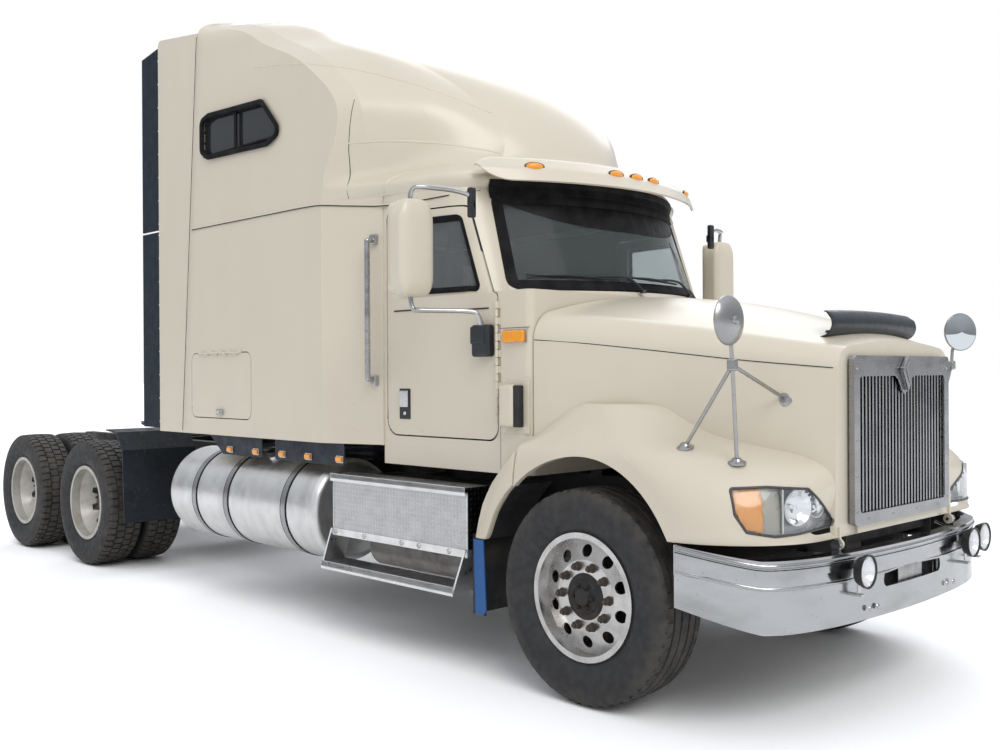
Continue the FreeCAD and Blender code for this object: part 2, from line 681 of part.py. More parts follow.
# outline of the sleeper's side window: x, z
SIDE_WINDOW_PTS = ((-3390.0, 3060.0), (-3300.0, 3008.0), (-2560.0, 2985.0), (-2440.0, 3030.0),
                   (-2450.0, 3090.0), (-2620.0, 3268.0), (-3290.0, 3294.0), (-3390.0, 3270.0))
SIDE_WINDOW = prism(SIDE_WINDOW_PTS, 45, "xz", 1100, 1300)
ROOF_SKIN = roof_fairing()
save("roof_fairing", ROOF_SKIN)
WINDOW_T = 8.0
side_glass = prism(SIDE_WINDOW_PTS, 45, "xz", SLEEPER_Y - 14 - WINDOW_T, SLEEPER_Y - 14)
save("sleeper_windows", pair(side_glass))

LUGGAGE_X0 = -3563.0
LUGGAGE_X1 = -2793.0
LUGGAGE_Z0 = 1249.0
LUGGAGE_Z1 = 1682.0
LUGGAGE_R = 60.0
LUGGAGE_GAP = 6.0
LUGGAGE_T = 30.0
LUGGAGE_OUT = 8.0
LUGGAGE_BARREL = 6.0
LUGGAGE_PIN = 3.0
LUGGAGE_HINGE = 560.0


def luggage_outline(gap):
    return ((LUGGAGE_X0 - gap, LUGGAGE_Z0 - gap), (LUGGAGE_X1 + gap, LUGGAGE_Z0 - gap),
            (LUGGAGE_X1 + gap, LUGGAGE_Z1 + gap), (LUGGAGE_X0 - gap, LUGGAGE_Z1 + gap))


def sleeper_shell():
    """Lower sleeper box, open to the cab in front and to the roof above."""
    row = ROOF[0][1]
    outer = Part.Face(shell_section(row, SLEEPER_BOTTOM, 0, SEAM_X0)).extrude(V(0, 0, ROOF_SEAM - SLEEPER_BOTTOM))
    inner = Part.Face(shell_section(row, SLEEPER_BOTTOM, SKIN, SEAM_X0)).extrude(V(0, 0, ROOF_SEAM))
    inner.translate(V(0, 0, SKIN))
    seam = prism([(rear_x(SLEEPER_BOTTOM), SLEEPER_BOTTOM), (CAB_REAR, SLEEPER_BOTTOM),
                  (CAB_REAR, ROOF_SEAM), (rear_x(ROOF_SEAM), ROOF_SEAM)], 0, "xz", -1400, 1400)
    back = prism([(rear_x(0) + SKIN, 0), (2000, 0), (2000, 4000), (rear_x(4000) + SKIN, 4000)],
                 0, "xz", -1400, 1400)
    s = outer.common(seam).cut(inner.common(back))
    hatch = prism(luggage_outline(LUGGAGE_GAP), LUGGAGE_R, "xz", 1100, 1300)
    s = s.cut(fuse([hatch, flip(hatch)]))
    return fuse([s, lug_hinge, flip(lug_hinge)])


def luggage_door():
    """Left luggage door with its hinge barrel above."""
    y = SLEEPER_Y
    panel = prism(luggage_outline(0), LUGGAGE_R - LUGGAGE_GAP, "xz", y - LUGGAGE_T, y)
    return fuse([panel] + lug_leaf.Solids)


lug_hinge, lug_leaf = hinge(LUGGAGE_HINGE, 9, LUGGAGE_OUT, LUGGAGE_BARREL, LUGGAGE_PIN)
for half_ in (lug_hinge, lug_leaf):
    half_.rotate(V(0, 0, 0), V(0, 1, 0), -90)
    half_.translate(V((LUGGAGE_X0 + LUGGAGE_X1 + LUGGAGE_HINGE) / 2, SLEEPER_Y + LUGGAGE_OUT,
                      LUGGAGE_Z1 + LUGGAGE_GAP / 2))
SLEEPER = sleeper_shell()
save("sleeper_shell", SLEEPER)
save("luggage_door_left", luggage_door())
save("luggage_door_right", flip(luggage_door()))

# door outline in side view: x, z and corner radius
DOOR_PTS = ((DOOR_X0, DOOR_Z0), (DOOR_X1, DOOR_Z0), (DOOR_X1, CAB_BELT - 14), (DOOR_TOP_X + 175, CAB_BELT + 6),
            (DOOR_TOP_X, DOOR_Z1), (DOOR_X0, DOOR_Z1))
DOOR_RADII = (90.0, 70.0, 20.0, 20.0, 40.0, 30.0)
DOOR_WINDOW = ((-1450.0, 1992.0), (-1200.0, 1985.0), (-880.0, 1985.0), (-880.0, 2010.0),
               (-1020.0, 2395.0), (-1450.0, 2395.0))
DOOR_WINDOW_RADII = (40.0, 0.0, 10.0, 20.0, 40.0, 40.0)


# cab plan rows at the belt and at the roof seam, as in ROOF
CAB_LOW_ROW = (1050, -1560, 1050, -1500, 1050, -930, 985, -770, 830, -420)
CAB_TOP_ROW = (1050, -1560, 1050, -1500, 1045, -1150, 990, -965, 790, -660)
WINDSHIELD_PTS = ((-836.0, 1988.0), (836.0, 1988.0), (800.0, 2520.0), (-800.0, 2520.0))


def cab_upper(inset):
    """Greenhouse of the cab between the belt and the roof seam."""
    return loft([shell_section(CAB_LOW_ROW, CAB_BELT, inset, CAB_REAR - 50),
                 shell_section(CAB_TOP_ROW, ROOF_SEAM, inset, CAB_REAR - 50)], ruled=True)


def cab_form(i):
    """Outside of the cab moved inward by i: a box below the belt and the greenhouse on it."""
    low = prism([(CAB_REAR, -CAB_Y + i), (CAB_FRONT - i, -CAB_Y + i), (CAB_FRONT - i, CAB_Y - i), (CAB_REAR, CAB_Y - i)],
                (0, CAB_CORNER, CAB_CORNER, 0), "xy", CAB_BOTTOM + i, CAB_BELT - i)
    foot = Part.Face(shell_section(CAB_LOW_ROW, CAB_BELT - i - 1, i, CAB_REAR - 50)).extrude(V(0, 0, i + 1))
    up = fuse([foot, cab_upper(i)]).common(box(CAB_REAR, 200, -1400, 1400, CAB_BOTTOM, ROOF_SEAM))
    return fuse([low, up])


def cab_shell():
    """Cab of one wall thickness, open to the sleeper, with door and windshield cut out."""
    s = cab_form(0).cut(cab_form(CAB_WALL))
    door = prism(grown(DOOR_PTS, DOOR_GAP), DOOR_RADII, "xz", 700, 1200)
    shield = prism(WINDSHIELD_PTS, 60, "yz", -1100, 200)
    return s.cut(fuse([door, flip(door), shield])).removeSplitter()


def windshield():
    """Curved pane set in the middle of the wall."""
    shield = prism(WINDSHIELD_PTS, 60, "yz", -1100, 200)
    return cab_upper(14).cut(cab_upper(14 + GLASS_T + 2)).common(shield).common(
        box(-1100, 200, -1400, 1400, 0, 4000))


CAB = cab_shell()
door_hinge, door_leaf = hinge(HINGE_LEN, HINGE_SEGMENTS, HINGE_OUT, BARREL_R, HINGE_PIN)
for half_ in (door_hinge, door_leaf):
    half_.translate(V(HINGE_X, CAB_Y + HINGE_OUT, HINGE_Z0))
CAB = fuse([CAB, door_hinge, flip(door_hinge)])
save("cab_shell", CAB)
save("windshield", windshield())


def door_skin(i0, i1, points, radii):
    """Left door piece between two depths under the cab's outside."""
    return cab_form(i0).cut(cab_form(i1)).common(prism(points, radii, "xz", 700, 1200))


def door():
    """Left door slab with its window opening."""
    slab = fuse([door_skin(0, DOOR_T, DOOR_PTS, DOOR_RADII)] + door_leaf.Solids)
    return main(slab.cut(prism(DOOR_WINDOW, DOOR_WINDOW_RADII, "xz", 700, 1200)))


MIRROR_BOX = box(-795, -665, CAB_Y, CAB_Y + 50, 1625, 1790)
MIRROR_TOP = box(-830, -790, CAB_Y, CAB_Y + 34, 2395, 2440)


def door_mirror():
    """Left mirror housing on its two arms."""
    head = prism([(-1015, 1255), (-895, 1255), (-880, 1300), (-880, 1430), (-895, 1480), (-1015, 1480)],
                 (20, 30, 30, 40, 40, 20), "xy", 1935, 2430)
    top = rod([(-810, CAB_Y + 17, 2410), (-820, CAB_Y + 40, 2475), (-900, 1330, 2495), (-950, 1368, 2428)], 13)
    low = rod([(-730, CAB_Y + 30, 1780), (-770, CAB_Y + 50, 1850), (-900, 1340, 1862), (-950, 1368, 1940)], 13)
    return fuse([MIRROR_BOX, MIRROR_TOP, head, top, low])


door_glass = main(door_skin(GLASS_IN, GLASS_IN + GLASS_T, DOOR_WINDOW, DOOR_WINDOW_RADII))
for side, turn in (("left", lambda s: s), ("right", flip)):
    save("door_" + side, turn(door()))
    save("door_glass_" + side, turn(door_glass))
    save("door_mirror_" + side, turn(door_mirror()))

# ---- extenders, visor, skirts, fenders behind the cab --------------------------------
PLATE_T = 30.0
EXT_REAR = -4040.0
RUBBER_X0 = EXT_REAR - 293.0
RUBBER_T = 12.0


def side_extender():
    """Panel that carries the sleeper's side on towards the trailer."""
    return prism([(rear_x(SLEEPER_BOTTOM) - 2, SLEEPER_BOTTOM), (EXT_REAR, SLEEPER_BOTTOM),
                  (EXT_REAR, 3967), (rear_x(3890) - 2, 3890)][::-1], (0, 40, 0, 0),
                 "xz", SLEEPER_Y - PLATE_T, SLEEPER_Y)


def extender_arm(z):
    return box(rear_x(z) - 2 - 30, rear_x(z) + 5, SLEEPER_Y - PLATE_T - 30, SLEEPER_Y - PLATE_T, z - 60, z + 60)


def rubber_extender():
    low = box(RUBBER_X0, EXT_REAR - 0, SLEEPER_Y - PLATE_T, SLEEPER_Y - PLATE_T + RUBBER_T, 1153, 2583)
    high = prism([(RUBBER_X0, 2597), (EXT_REAR, 2597), (EXT_REAR, 3930), (RUBBER_X0, 3890)],
                 0, "xz", SLEEPER_Y - PLATE_T, SLEEPER_Y - PLATE_T + RUBBER_T)
    return [low, high]


EXT = fuse([side_extender()] + [extender_arm(z) for z in (1400, 2300, 3200)])
save("side_extenders", pair(main(EXT.cut(SLEEPER).cut(ROOF_SKIN))))
rubber = rubber_extender()
save("rubber_extenders", group(rubber + [flip(r) for r in rubber]))

# height: corner_x, corner_y, tip_x of the visor's outer face
VISOR = ((2570.0, (-880, 960, -505)), (2645.0, (-890, 955, -565)), (2720.0, (-950, 900, -650)))
VISOR_T = 20.0
# rear edge of the visor's top on the left side: x, y
VISOR_REAR = ((-1400.0, 1100.0), (-1400.0, 380.0), (-1230.0, 400.0), (-965.0, 900.0), (-935.0, 1100.0))


def visor_form(inset, drop=0.0):
    wires = []
    for z, (cx, cy, tx) in VISOR:
        z, cx, cy, tx = z - drop, cx - inset, cy - inset, tx - inset
        a, b = V(cx, -cy, z), V(cx, cy, z)
        arc = Part.Arc(a, V(tx, 0, z), b).toShape()
        back = [Part.makeLine(b, V(-1300, cy, z)), Part.makeLine(V(-1300, cy, z), V(-1300, -cy, z)),
                Part.makeLine(V(-1300, -cy, z), a)]
        wires.append(Part.Wire([arc] + back))
    return loft(wires, ruled=True)


def sun_visor():
    """Brim over the windshield, open below and closed above against the roof."""
    rear = prism(VISOR_REAR, 0, "xy", 2500, 3000)
    s = visor_form(0).cut(visor_form(VISOR_T, VISOR_T))
    for cutter in (rear, flip(rear), ROOF_OUT):
        s = s.cut(cutter)
    return main(s)


VISOR_SOLID = sun_visor()
save("sun_visor", VISOR_SOLID)

SKIRT_Y = 1130.0
skirt = box(-3950, -1640, SKIRT_Y - 12, SKIRT_Y, 992, SLEEPER_BOTTOM)
skirt_arms = [box(x, x + 60, RAIL_Y, SKIRT_Y - 12, 1060, 1092) for x in (-3600, -2700, -1800)]
save("sleeper_skirts", pair(fuse([skirt] + skirt_arms).cut(FRAME)))

# sleeper and cab supports that carry them on the rails
supports = [box(x, x + 80, -RAIL_Y, RAIL_Y, RAIL_Z1, SLEEPER_BOTTOM) for x in (-3500, -2500)]
supports += [box(-1500, -1420, -RAIL_Y, RAIL_Y, RAIL_Z1, CAB_BOTTOM), box(-560, -480, -RAIL_Y, RAIL_Y, RAIL_Z1, CAB_BOTTOM)]
save("cab_mounts", group(supports))

def drive_fender():
    """Quarter fender in front of the forward drive wheel, on a stub from the rail."""
    outer = [(-4930, 1112), (-4740, 1095), (-4640, 960), (-4610, 400)]
    inner = [(-4620, 400), (-4652, 955), (-4746, 1085), (-4930, 1102)]
    sheet = prism(outer + inner, 0, "xz", 590, 1200)
    stub = cyl("y", 30, RAIL_Y, 620, -4600, 900)
    hook = box(-4655, -4600, 590, 630, 870, 930)
    return fuse([sheet, stub, hook])


save("drive_fenders", pair(drive_fender()))

# ---- grab handles -------------------------------------------------------------------
def grab_handle():
    x, y = -1625.0, 1135.0
    bar = rod([(x - 20, 1075, 1500), (x, y, 1512), (x, y, 2300), (x - 20, 1075, 2312)], 16)
    return bar


save("grab_handles", pair(grab_handle().cut(SLEEPER)))

# ---- tanks, steps, muffler ----------------------------------------------------------
TANK_R = 315.0
TANK_Y = 885.0
TANK_Z = 700.0
TANK_X0 = -3895.0
TANK_X1 = -2085.0
TANK_EDGE = 45.0
STRAP_X = (-3520.0, -3100.0, -2410.0)
STRAP_W = 48.0
STRAP_T = 5.0


def fuel_tank():
    body = cyl("x", TANK_R, TANK_X0, TANK_X1, TANK_Y, TANK_Z)
    ends = [e for e in body.Edges if abs(e.Length - 2 * math.pi * TANK_R) < 1.0]
    body = body.makeFillet(TANK_EDGE, ends)
    cap = rod([(-2800, 985, 960), (-2800, 1020, 1040)], 42)
    return fuse([body, cap])


def tank_strap(x):
    ring = cyl("x", TANK_R + STRAP_T, x - STRAP_W / 2, x + STRAP_W / 2, TANK_Y, TANK_Z)
    ring = ring.cut(cyl("x", TANK_R, x - STRAP_W, x + STRAP_W, TANK_Y, TANK_Z))
    bracket = box(x - 30, x + 30, RAIL_Y, TANK_Y, TANK_Z - 235, RAIL_Z1 - 10)
    bracket = bracket.cut(cyl("x", TANK_R, x - 60, x + 60, TANK_Y, TANK_Z))
    bracket = max(bracket.Solids, key=lambda s: -s.BoundBox.YMin)
    return fuse([ring, bracket])


tank = fuel_tank()
save("fuel_tanks", pair(tank))
straps = [tank_strap(x) for x in STRAP_X]
save("tank_straps", group(straps + [flip(s) for s in straps]))

STEP_X0 = -1905.0
STEP_X1 = -735.0
STEP_TOP = 958.0
STEP_FACE = 1180.0
STEP_EDGE = 1202.0
STEP_BACK = 1035.0
STEP_LOW = 640.0
TREAD_T = 24.0
LOW_X0 = -2005.0
LOW_X1 = -832.0
LOW_Z = 438.0


def side_step():
    """Battery box with its tread, and the lower step on slanted side plates."""
    case = box(STEP_X0, STEP_X1, 700, STEP_FACE, STEP_LOW, STEP_TOP - TREAD_T)
    tread = box(STEP_X0, STEP_X1, STEP_BACK, STEP_EDGE, STEP_TOP - TREAD_T, STEP_TOP)
    strip = box(STEP_X0, STEP_X1, STEP_FACE - 30, STEP_FACE + 6, STEP_LOW - 40, STEP_LOW)
    low = box(LOW_X0, LOW_X1, 1040, STEP_EDGE, LOW_Z - 30, LOW_Z)
    plates = []
    for x0, x1 in ((LOW_X0, STEP_X0), (LOW_X1, STEP_X1)):
        plates.append(prism([(x0, LOW_Z - 30), (x0 + 12, LOW_Z - 30), (x1 + 12, STEP_LOW), (x1, STEP_LOW)]
                            if x0 < x1 and x0 == LOW_X0 else
                            [(x0 - 12, LOW_Z - 30), (x0, LOW_Z - 30), (x1, STEP_LOW), (x1 - 12, STEP_LOW)],
                            0, "xz", 1045, STEP_EDGE - 4))
    arms = [box(x, x + 70, RAIL_Y, 700, 860, 930) for x in (STEP_X0 + 120, STEP_X1 - 260)]
    return fuse([case, tread, strip, low] + plates + arms)


save("side_steps", pair(side_step()))

FENDER_EXT_R = 664.0
FLAP_X = -708.0
FLAP_T = 14.0
FLAP_TOP = 705.0
EXT_PLATE_T = 18.0


def fender_extension():
    """Rear foot of the wheel arch on a plate from the step, behind the hood's fender."""
    ring = cyl("y", FENDER_EXT_R, 860, 1168, 0, ARCH_Z).cut(cyl("y", ARCH_R + 6, 800, 1200, 0, ARCH_Z))
    edge = FENDER_REAR - 12
    ring = ring.common(prism([(-900, FLAP_TOP), (edge, FLAP_TOP), (edge, CAB_BOTTOM), (-900, CAB_BOTTOM)], 0, "xz", 800, 1200))
    plate = box(STEP_X1, edge - 40, 880, 1150, FLAP_TOP, FLAP_TOP + EXT_PLATE_T)
    return fuse([ring, plate])


def splash_flap():
    return box(FLAP_X - FLAP_T, FLAP_X, 870, 1160, 318, FLAP_TOP)


save("fender_extensions", pair(fender_extension()))
save("splash_flaps", pair(splash_flap()))

MUFFLER_R = 125.0
muffler = cyl("x", MUFFLER_R, -1850, -980, -830, STEP_LOW - MUFFLER_R)
pipe = rod([(-980, -830, STEP_LOW - MUFFLER_R), (-700, -700, 560), (-620, -500, 640)], 50)
save("muffler", fuse([muffler, pipe]))

# ---- interior -----------------------------------------------------------------------
FLOOR = CAB_BOTTOM + CAB_WALL


def seat(y):
    base = box(-1300, -960, y - 190, y + 190, FLOOR, 1420)
    cushion = box(-1340, -880, y - 240, y + 240, 1420, 1540)
    back = prism([(-1340, 1540), (-1210, 1540), (-1310, 2180), (-1420, 2180)], (0, 0, 40, 40), "xz", y - 235, y + 235)
    return fuse([base, cushion, back])


save("seats", group([seat(DRIVER_Y), seat(-DRIVER_Y)]))
BUNK_Z = 1700.0
BUNK_X0 = -3585.0
BUNK_X1 = -2560.0
bunk_y = SLEEPER_Y - SKIN
bunk_base = box(BUNK_X0, BUNK_X1, -bunk_y, bunk_y, BUNK_Z, BUNK_Z + 25)
mattress = box(BUNK_X0 + 10, BUNK_X1 - 5, -bunk_y + 15, bunk_y - 15, BUNK_Z + 25 + SEAT, BUNK_Z + 165)
save("bunk", group([bunk_base, mattress]))


WHEEL_DIA = 450.0
COLUMN = V(-172, 0, 190)  # direction of the steering column
COLUMN.normalize()
WHEEL_FOOT = V(CAB_FRONT - 460, DRIVER_Y, CAB_BELT - 150)
WHEEL_BOSS = 20.0
WHEEL_AT = WHEEL_FOOT + COLUMN * (WHEEL_BOSS + SEAT)


def dashboard():
    top, front = CAB_BELT - DOOR_T - 2 * GAP, CAB_FRONT - CAB_WALL
    half = CAB_Y - CAB_WALL - CAB_CORNER - GAP
    d = prism([(front, top - 614), (front, top), (front - 242, top), (front - 342, top - 74),
               (front - 322, top - 354), (front - 162, top - 614)], 0, "xz", -half, half)
    column = rod([tuple(WHEEL_FOOT - COLUMN * 256), tuple(WHEEL_FOOT)], 35)
    return fuse([d, column])


save("dashboard", dashboard())

def steering_wheel():
    """Rim, three spokes and a boss on the column's axis."""
    ring = Part.makeTorus(WHEEL_DIA / 2, 15, V(0, 0, 0), V(0, 0, 1))
    boss = Part.makeCylinder(45, 45, V(0, 0, -WHEEL_BOSS), V(0, 0, 1))
    spokes = []
    for a in (90, 210, 330):
        b = box(0, WHEEL_DIA / 2, -14, 14, -6, 6)
        b.rotate(V(0, 0, 0), V(0, 0, 1), a)
        spokes.append(b)
    s = fuse([ring, boss] + spokes)
    s.rotate(V(0, 0, 0), V(0, 1, 0), -math.degrees(math.atan2(172, 190)))
    s.translate(WHEEL_AT)
    return s


save("steering_wheel", steering_wheel())

# ---- hood ---------------------------------------------------------------------------
HOOD_T = 28.0
HOOD_LOW = 822.0
HOOD_FRONT = 985.0
HOOD_REAR = CAB_FRONT + 8.0
GRILLE_TILT = 34.0        # the grille leans back by this much over its height
# x: top z, shoulder y, shoulder z, side y, seam z, low side y
HOOD_BODY = (
    (HOOD_REAR, (1958.0, 900.0, 1855.0, 1035.0, 1705.0, 1035.0)),
    (60.0, (1915.0, 800.0, 1800.0, 912.0, 1655.0, 912.0)),
    (520.0, (1820.0, 640.0, 1730.0, 740.0, 1600.0, 745.0)),
    (HOOD_FRONT - 12.0, (1684.0, 460.0, 1653.0, 560.0, 1556.0, 590.0)),
)


def hood_section(x, row, inset=0.0):
    top, sh_y, sh_z, side_y, seam, low_y = row
    i = inset
    top, sh_z, sh_y, side_y, low_y = top - i, sh_z - i, sh_y - i * 0.6, side_y - i, low_y - i
    seam = seam - i * 0.4
    edges = []
    for s in (-1, 1):
        m = (sh_y + side_y) / 2 + 0.16 * (side_y - sh_y), (sh_z + seam) / 2 + 0.2 * (sh_z - seam)
        edges += [Part.makeLine(V(x, s * low_y, HOOD_LOW), V(x, s * side_y, seam)),
                  Part.Arc(V(x, s * side_y, seam), V(x, s * m[0], m[1]), V(x, s * sh_y, sh_z)).toShape()]
    edges.append(Part.Arc(V(x, -sh_y, sh_z), V(x, 0, top), V(x, sh_y, sh_z)).toShape())
    edges.append(Part.makeLine(V(x, -low_y, HOOD_LOW), V(x, low_y, HOOD_LOW)))
    return Part.Wire(Part.__sortEdges__(edges))


# height: rear x, front x, side y, rear corner radius, front corner radius
FENDER = (
    (HOOD_LOW, (FENDER_REAR, 985.0, 1186.0, 30.0, 490.0)),
    (1050.0, (FENDER_REAR + 4, 970.0, 1178.0, 60.0, 540.0)),
    (1130.0, (FENDER_REAR + 18, 922.0, 1164.0, 90.0, 600.0)),
    (1210.0, (FENDER_REAR + 102, 660.0, 1120.0, 130.0, 500.0)),
    (1305.0, (FENDER_REAR + 220, 380.0, 1046.0, 150.0, 330.0)),
    (1388.0, (FENDER_REAR + 425, 130.0, 968.0, 110.0, 120.0)),
)
FENDER_IN = 400.0


def fender_section(z, row, inset=0.0):
    x0, x1, y, r0, r1 = row
    i = inset
    return outline([(x0 + i, FENDER_IN), (x1 - i, FENDER_IN), (x1 - i, y - i), (x0 + i, y - i)],
                   (0, 0, r1 - i, r0 - i * 0.9), "xy", z)


def fender(inset=0.0, drop=0.0):
    """Domed fender; its hollow is made of straight strips between the same rows."""
    s = loft([fender_section(z, r, inset) for z, r in FENDER], ruled=inset > 0)
    s.translate(V(0, 0, -drop))
    return s


def arch():
    """Room for the front wheel, also when it is steered."""
    return cyl("y", ARCH_R, 440, 1400, 0, ARCH_Z)


LAMP_TURN = 38.0          # the headlamp faces this far outward
LAMP_D0 = 1050.0
LAMP_D1 = 1500.0


def lamp_prism(depth0, depth1, grow=0.0):
    """Headlamp outline pushed through the left fender's front corner."""
    pts = ((-126.0, 868.0), (199.0, 858.0), (324.0, 880.0), (368.0, 950.0), (374.0, 1056.0),
           (220.0, 1061.0), (26.0, 1046.0), (-56.0, 975.0), (-136.0, 898.0))
    s = prism(grown(pts, grow), 12, "yz", depth0, depth1)
    s.rotate(V(0, 0, 0), V(0, 0, 1), LAMP_TURN)
    return s


GRILLE_HALF = 484.0
GRILLE_Z0 = 862.0
GRILLE_Z1 = 1611.0
GRILLE_FRAME = 52.0
GRILLE_HEAD = 92.0
GRILLE_T = 26.0
GRILLE_BARS = 27


def grille_window(t0, t1, edge):
    return prism([(-GRILLE_HALF + edge, GRILLE_Z0 + edge), (GRILLE_HALF - edge, GRILLE_Z0 + edge),
                  (GRILLE_HALF - edge, GRILLE_Z1 - edge), (-GRILLE_HALF + edge, GRILLE_Z1 - edge)],
                 25, "yz", t0, t1)


def hood_shell():
    """Tilting hood: crowned body with two domed fenders, hollow below and open to the rear."""
    body = loft([hood_section(x, r) for x, r in HOOD_BODY])
    body_in = loft([hood_section(x, r, HOOD_T) for x, r in HOOD_BODY])
    body_in.translate(V(-HOOD_T - 17, 0, 0))
    left, left_in = fender(), fender(HOOD_T, HOOD_T)
    nose = box(HOOD_FRONT - 60, HOOD_FRONT, -FENDER_IN - 10, FENDER_IN + 10, HOOD_LOW, 1180)
    nose_in = box(-600, HOOD_FRONT - 40, -FENDER_IN - 60, FENDER_IN + 60, HOOD_LOW - 10, 1150)
    s = fuse([body, left, flip(left), nose])
    behind = box(-700, HOOD_REAR, -1400, 1400, 700, 2100)
    for cutter in (body_in, left_in, flip(left_in), nose_in, arch(), flip(arch()), behind,
                   grille_window(800, 1100, GRILLE_FRAME - 12), lamp_prism(LAMP_D0, LAMP_D1),
                   flip(lamp_prism(LAMP_D0, LAMP_D1))):
        s = s.cut(cutter)
    return main(s)


HOOD = hood_shell()


def hinge_lug(y):
    """Hood hinge eye below the front edge of the hood."""
    eye = cyl("y", HINGE_EYE_R, y - HINGE_T / 2, y + HINGE_T / 2, HOOD_PIVOT_X, HOOD_PIVOT_Z)
    strap = box(HOOD_FRONT - HOOD_T, HOOD_FRONT - 2, y - HINGE_T / 2, y + HINGE_T / 2,
                HOOD_PIVOT_Z, HOOD_LOW + 40)
    return fuse([eye, strap])


HOOD = fuse([HOOD] + [hinge_lug(s * LUG_Y) for s in (1, -1)])
HOOD = HOOD.cut(cyl("y", HINGE_PIN_R + SEAT, -LUG_Y - 30, LUG_Y + 30, HOOD_PIVOT_X, HOOD_PIVOT_Z))
save("hood_shell", HOOD)


def headlamp():
    lens = fender(0).common(lamp_prism(LAMP_D0, LAMP_D1))
    return lens.cut(fender(70, 0))


save("headlamps", pair(headlamp()))


def grille():
    """Polished frame with vertical bars, leaning back with the hood's nose."""
    frame = grille_window(HOOD_FRONT + 0.5, HOOD_FRONT + GRILLE_T, 0)
    hole = prism([(-GRILLE_HALF + GRILLE_FRAME, GRILLE_Z0 + GRILLE_FRAME),
                  (GRILLE_HALF - GRILLE_FRAME, GRILLE_Z0 + GRILLE_FRAME),
                  (GRILLE_HALF - GRILLE_FRAME, GRILLE_Z1 - GRILLE_HEAD),
                  (-GRILLE_HALF + GRILLE_FRAME, GRILLE_Z1 - GRILLE_HEAD)], 20, "yz", HOOD_FRONT - 50, HOOD_FRONT + 60)
    frame = frame.cut(hole)
    half = GRILLE_HALF - GRILLE_FRAME
    pitch = 2 * half / GRILLE_BARS
    bars = [box(HOOD_FRONT - 6, HOOD_FRONT + 14, -half + pitch * (i + 0.5) - 7, -half + pitch * (i + 0.5) + 7,
                GRILLE_Z0 + GRILLE_FRAME - 8, GRILLE_Z1 - GRILLE_HEAD + 8) for i in range(GRILLE_BARS)]
    return fuse([frame] + bars)


GRILLE = grille()
save("grille", GRILLE)


def bug_deflector():
    """Curved dark shield standing on the hood's front edge."""
    outer = prism([(835, 1705), (850, 1710), (835, 1745), (800, 1790), (760, 1810), (752, 1802),
                   (792, 1782), (824, 1742)], 0, "xz", -400, 400)
    return outer


save("bug_deflector", main(bug_deflector().cut(HOOD)))


def hood_mirror():
    """Round mirror on a tripod, left side."""
    head = Part.makeCylinder(106, 26, V(785, 1109, 1754), V(1, 0, 0))
    joint = (775, 1070, 1570)
    legs = [rod([(722, 960, 1155), joint, (778, 1085, 1700), (800, 1109, 1754)], 9),
            rod([(481, 1000, 1211), joint], 9), rod([(757, 640, 1424), joint], 9)]
    feet = [Part.makeCylinder(32, 14, V(722, 960, 1148), V(0, 0, 1)),
            Part.makeCylinder(32, 14, V(481, 1000, 1204), V(0, 0, 1)),
            Part.makeCylinder(32, 14, V(755, 628, 1424), V(0.3, 1, 0))]
    return fuse([head] + legs + feet)


save("hood_mirrors", pair(main(hood_mirror().cut(HOOD))))

# ---- lamps --------------------------------------------------------------------------
FOG_R = 74.0
FOG_Z = 685.0
FOG_X = 1108.0            # front of the lamp glass
FOG_T = 62.0


def fog_lamp(y, x):
    head = cyl("x", FOG_R, x - FOG_T, x, y, FOG_Z)
    foot = box(x - 100, x - FOG_T + 20, y - 14, y + 14, FOG_Z - 100, FOG_Z - 40)
    return fuse([head, foot])


MARKER_Y = (-680.0, -170.0, 0.0, 170.0, 680.0)
MARKER_Z = 2656.0
MARKER_OUT = 22.0


def marker_lamp(y):
    """Low oval lamp standing off the visor's brow."""
    pts = [(y - 54, MARKER_Z - 22), (y + 54, MARKER_Z - 22), (y + 54, MARKER_Z + 22), (y - 54, MARKER_Z + 22)]
    s = prism(pts, 21.5, "yz", -1100, 0).common(visor_form(-MARKER_OUT)).cut(visor_form(0))
    return max(s.Solids, key=lambda a: a.BoundBox.XMax)


fogs = [fog_lamp(y, x) for y, x in ((-550.0, 1112.0), (550.0, 1112.0), (775.0, 1075.0))]
fogs = [f.cut(BUMPER) for f in fogs]
fogs = [max(f.Solids, key=lambda s: s.BoundBox.XMax) for f in fogs]
lamps = list(fogs)
for y in (-1050.0, 1050.0):
    s = 1 if y > 0 else -1
    lamps.append(box(-598, -440, min(y, y + s * 22), max(y, y + s * 22), 1700, 1752))
for y in (-RAIL_Y, RAIL_Y):
    lamps.append(box(RAIL_X0 - 25, RAIL_X0, y - 60, y + 60, 830, 930))
for x in (-3150.0, -2827.0, -2515.0, -2227.0, -1902.0):
    for s in (1, -1):
        lamps.append(box(x - 30, x + 30, min(s * SKIRT_Y, s * (SKIRT_Y + 20)), max(s * SKIRT_Y, s * (SKIRT_Y + 20)), 1020, 1052))
# marker lamps on the visor's brow: middle across the truck
for y in MARKER_Y:
    lamps.append(marker_lamp(y))
save("lamps", group(lamps))

# ---- fifth wheel --------------------------------------------------------------------
PLATE_HALF_Y = 450.0


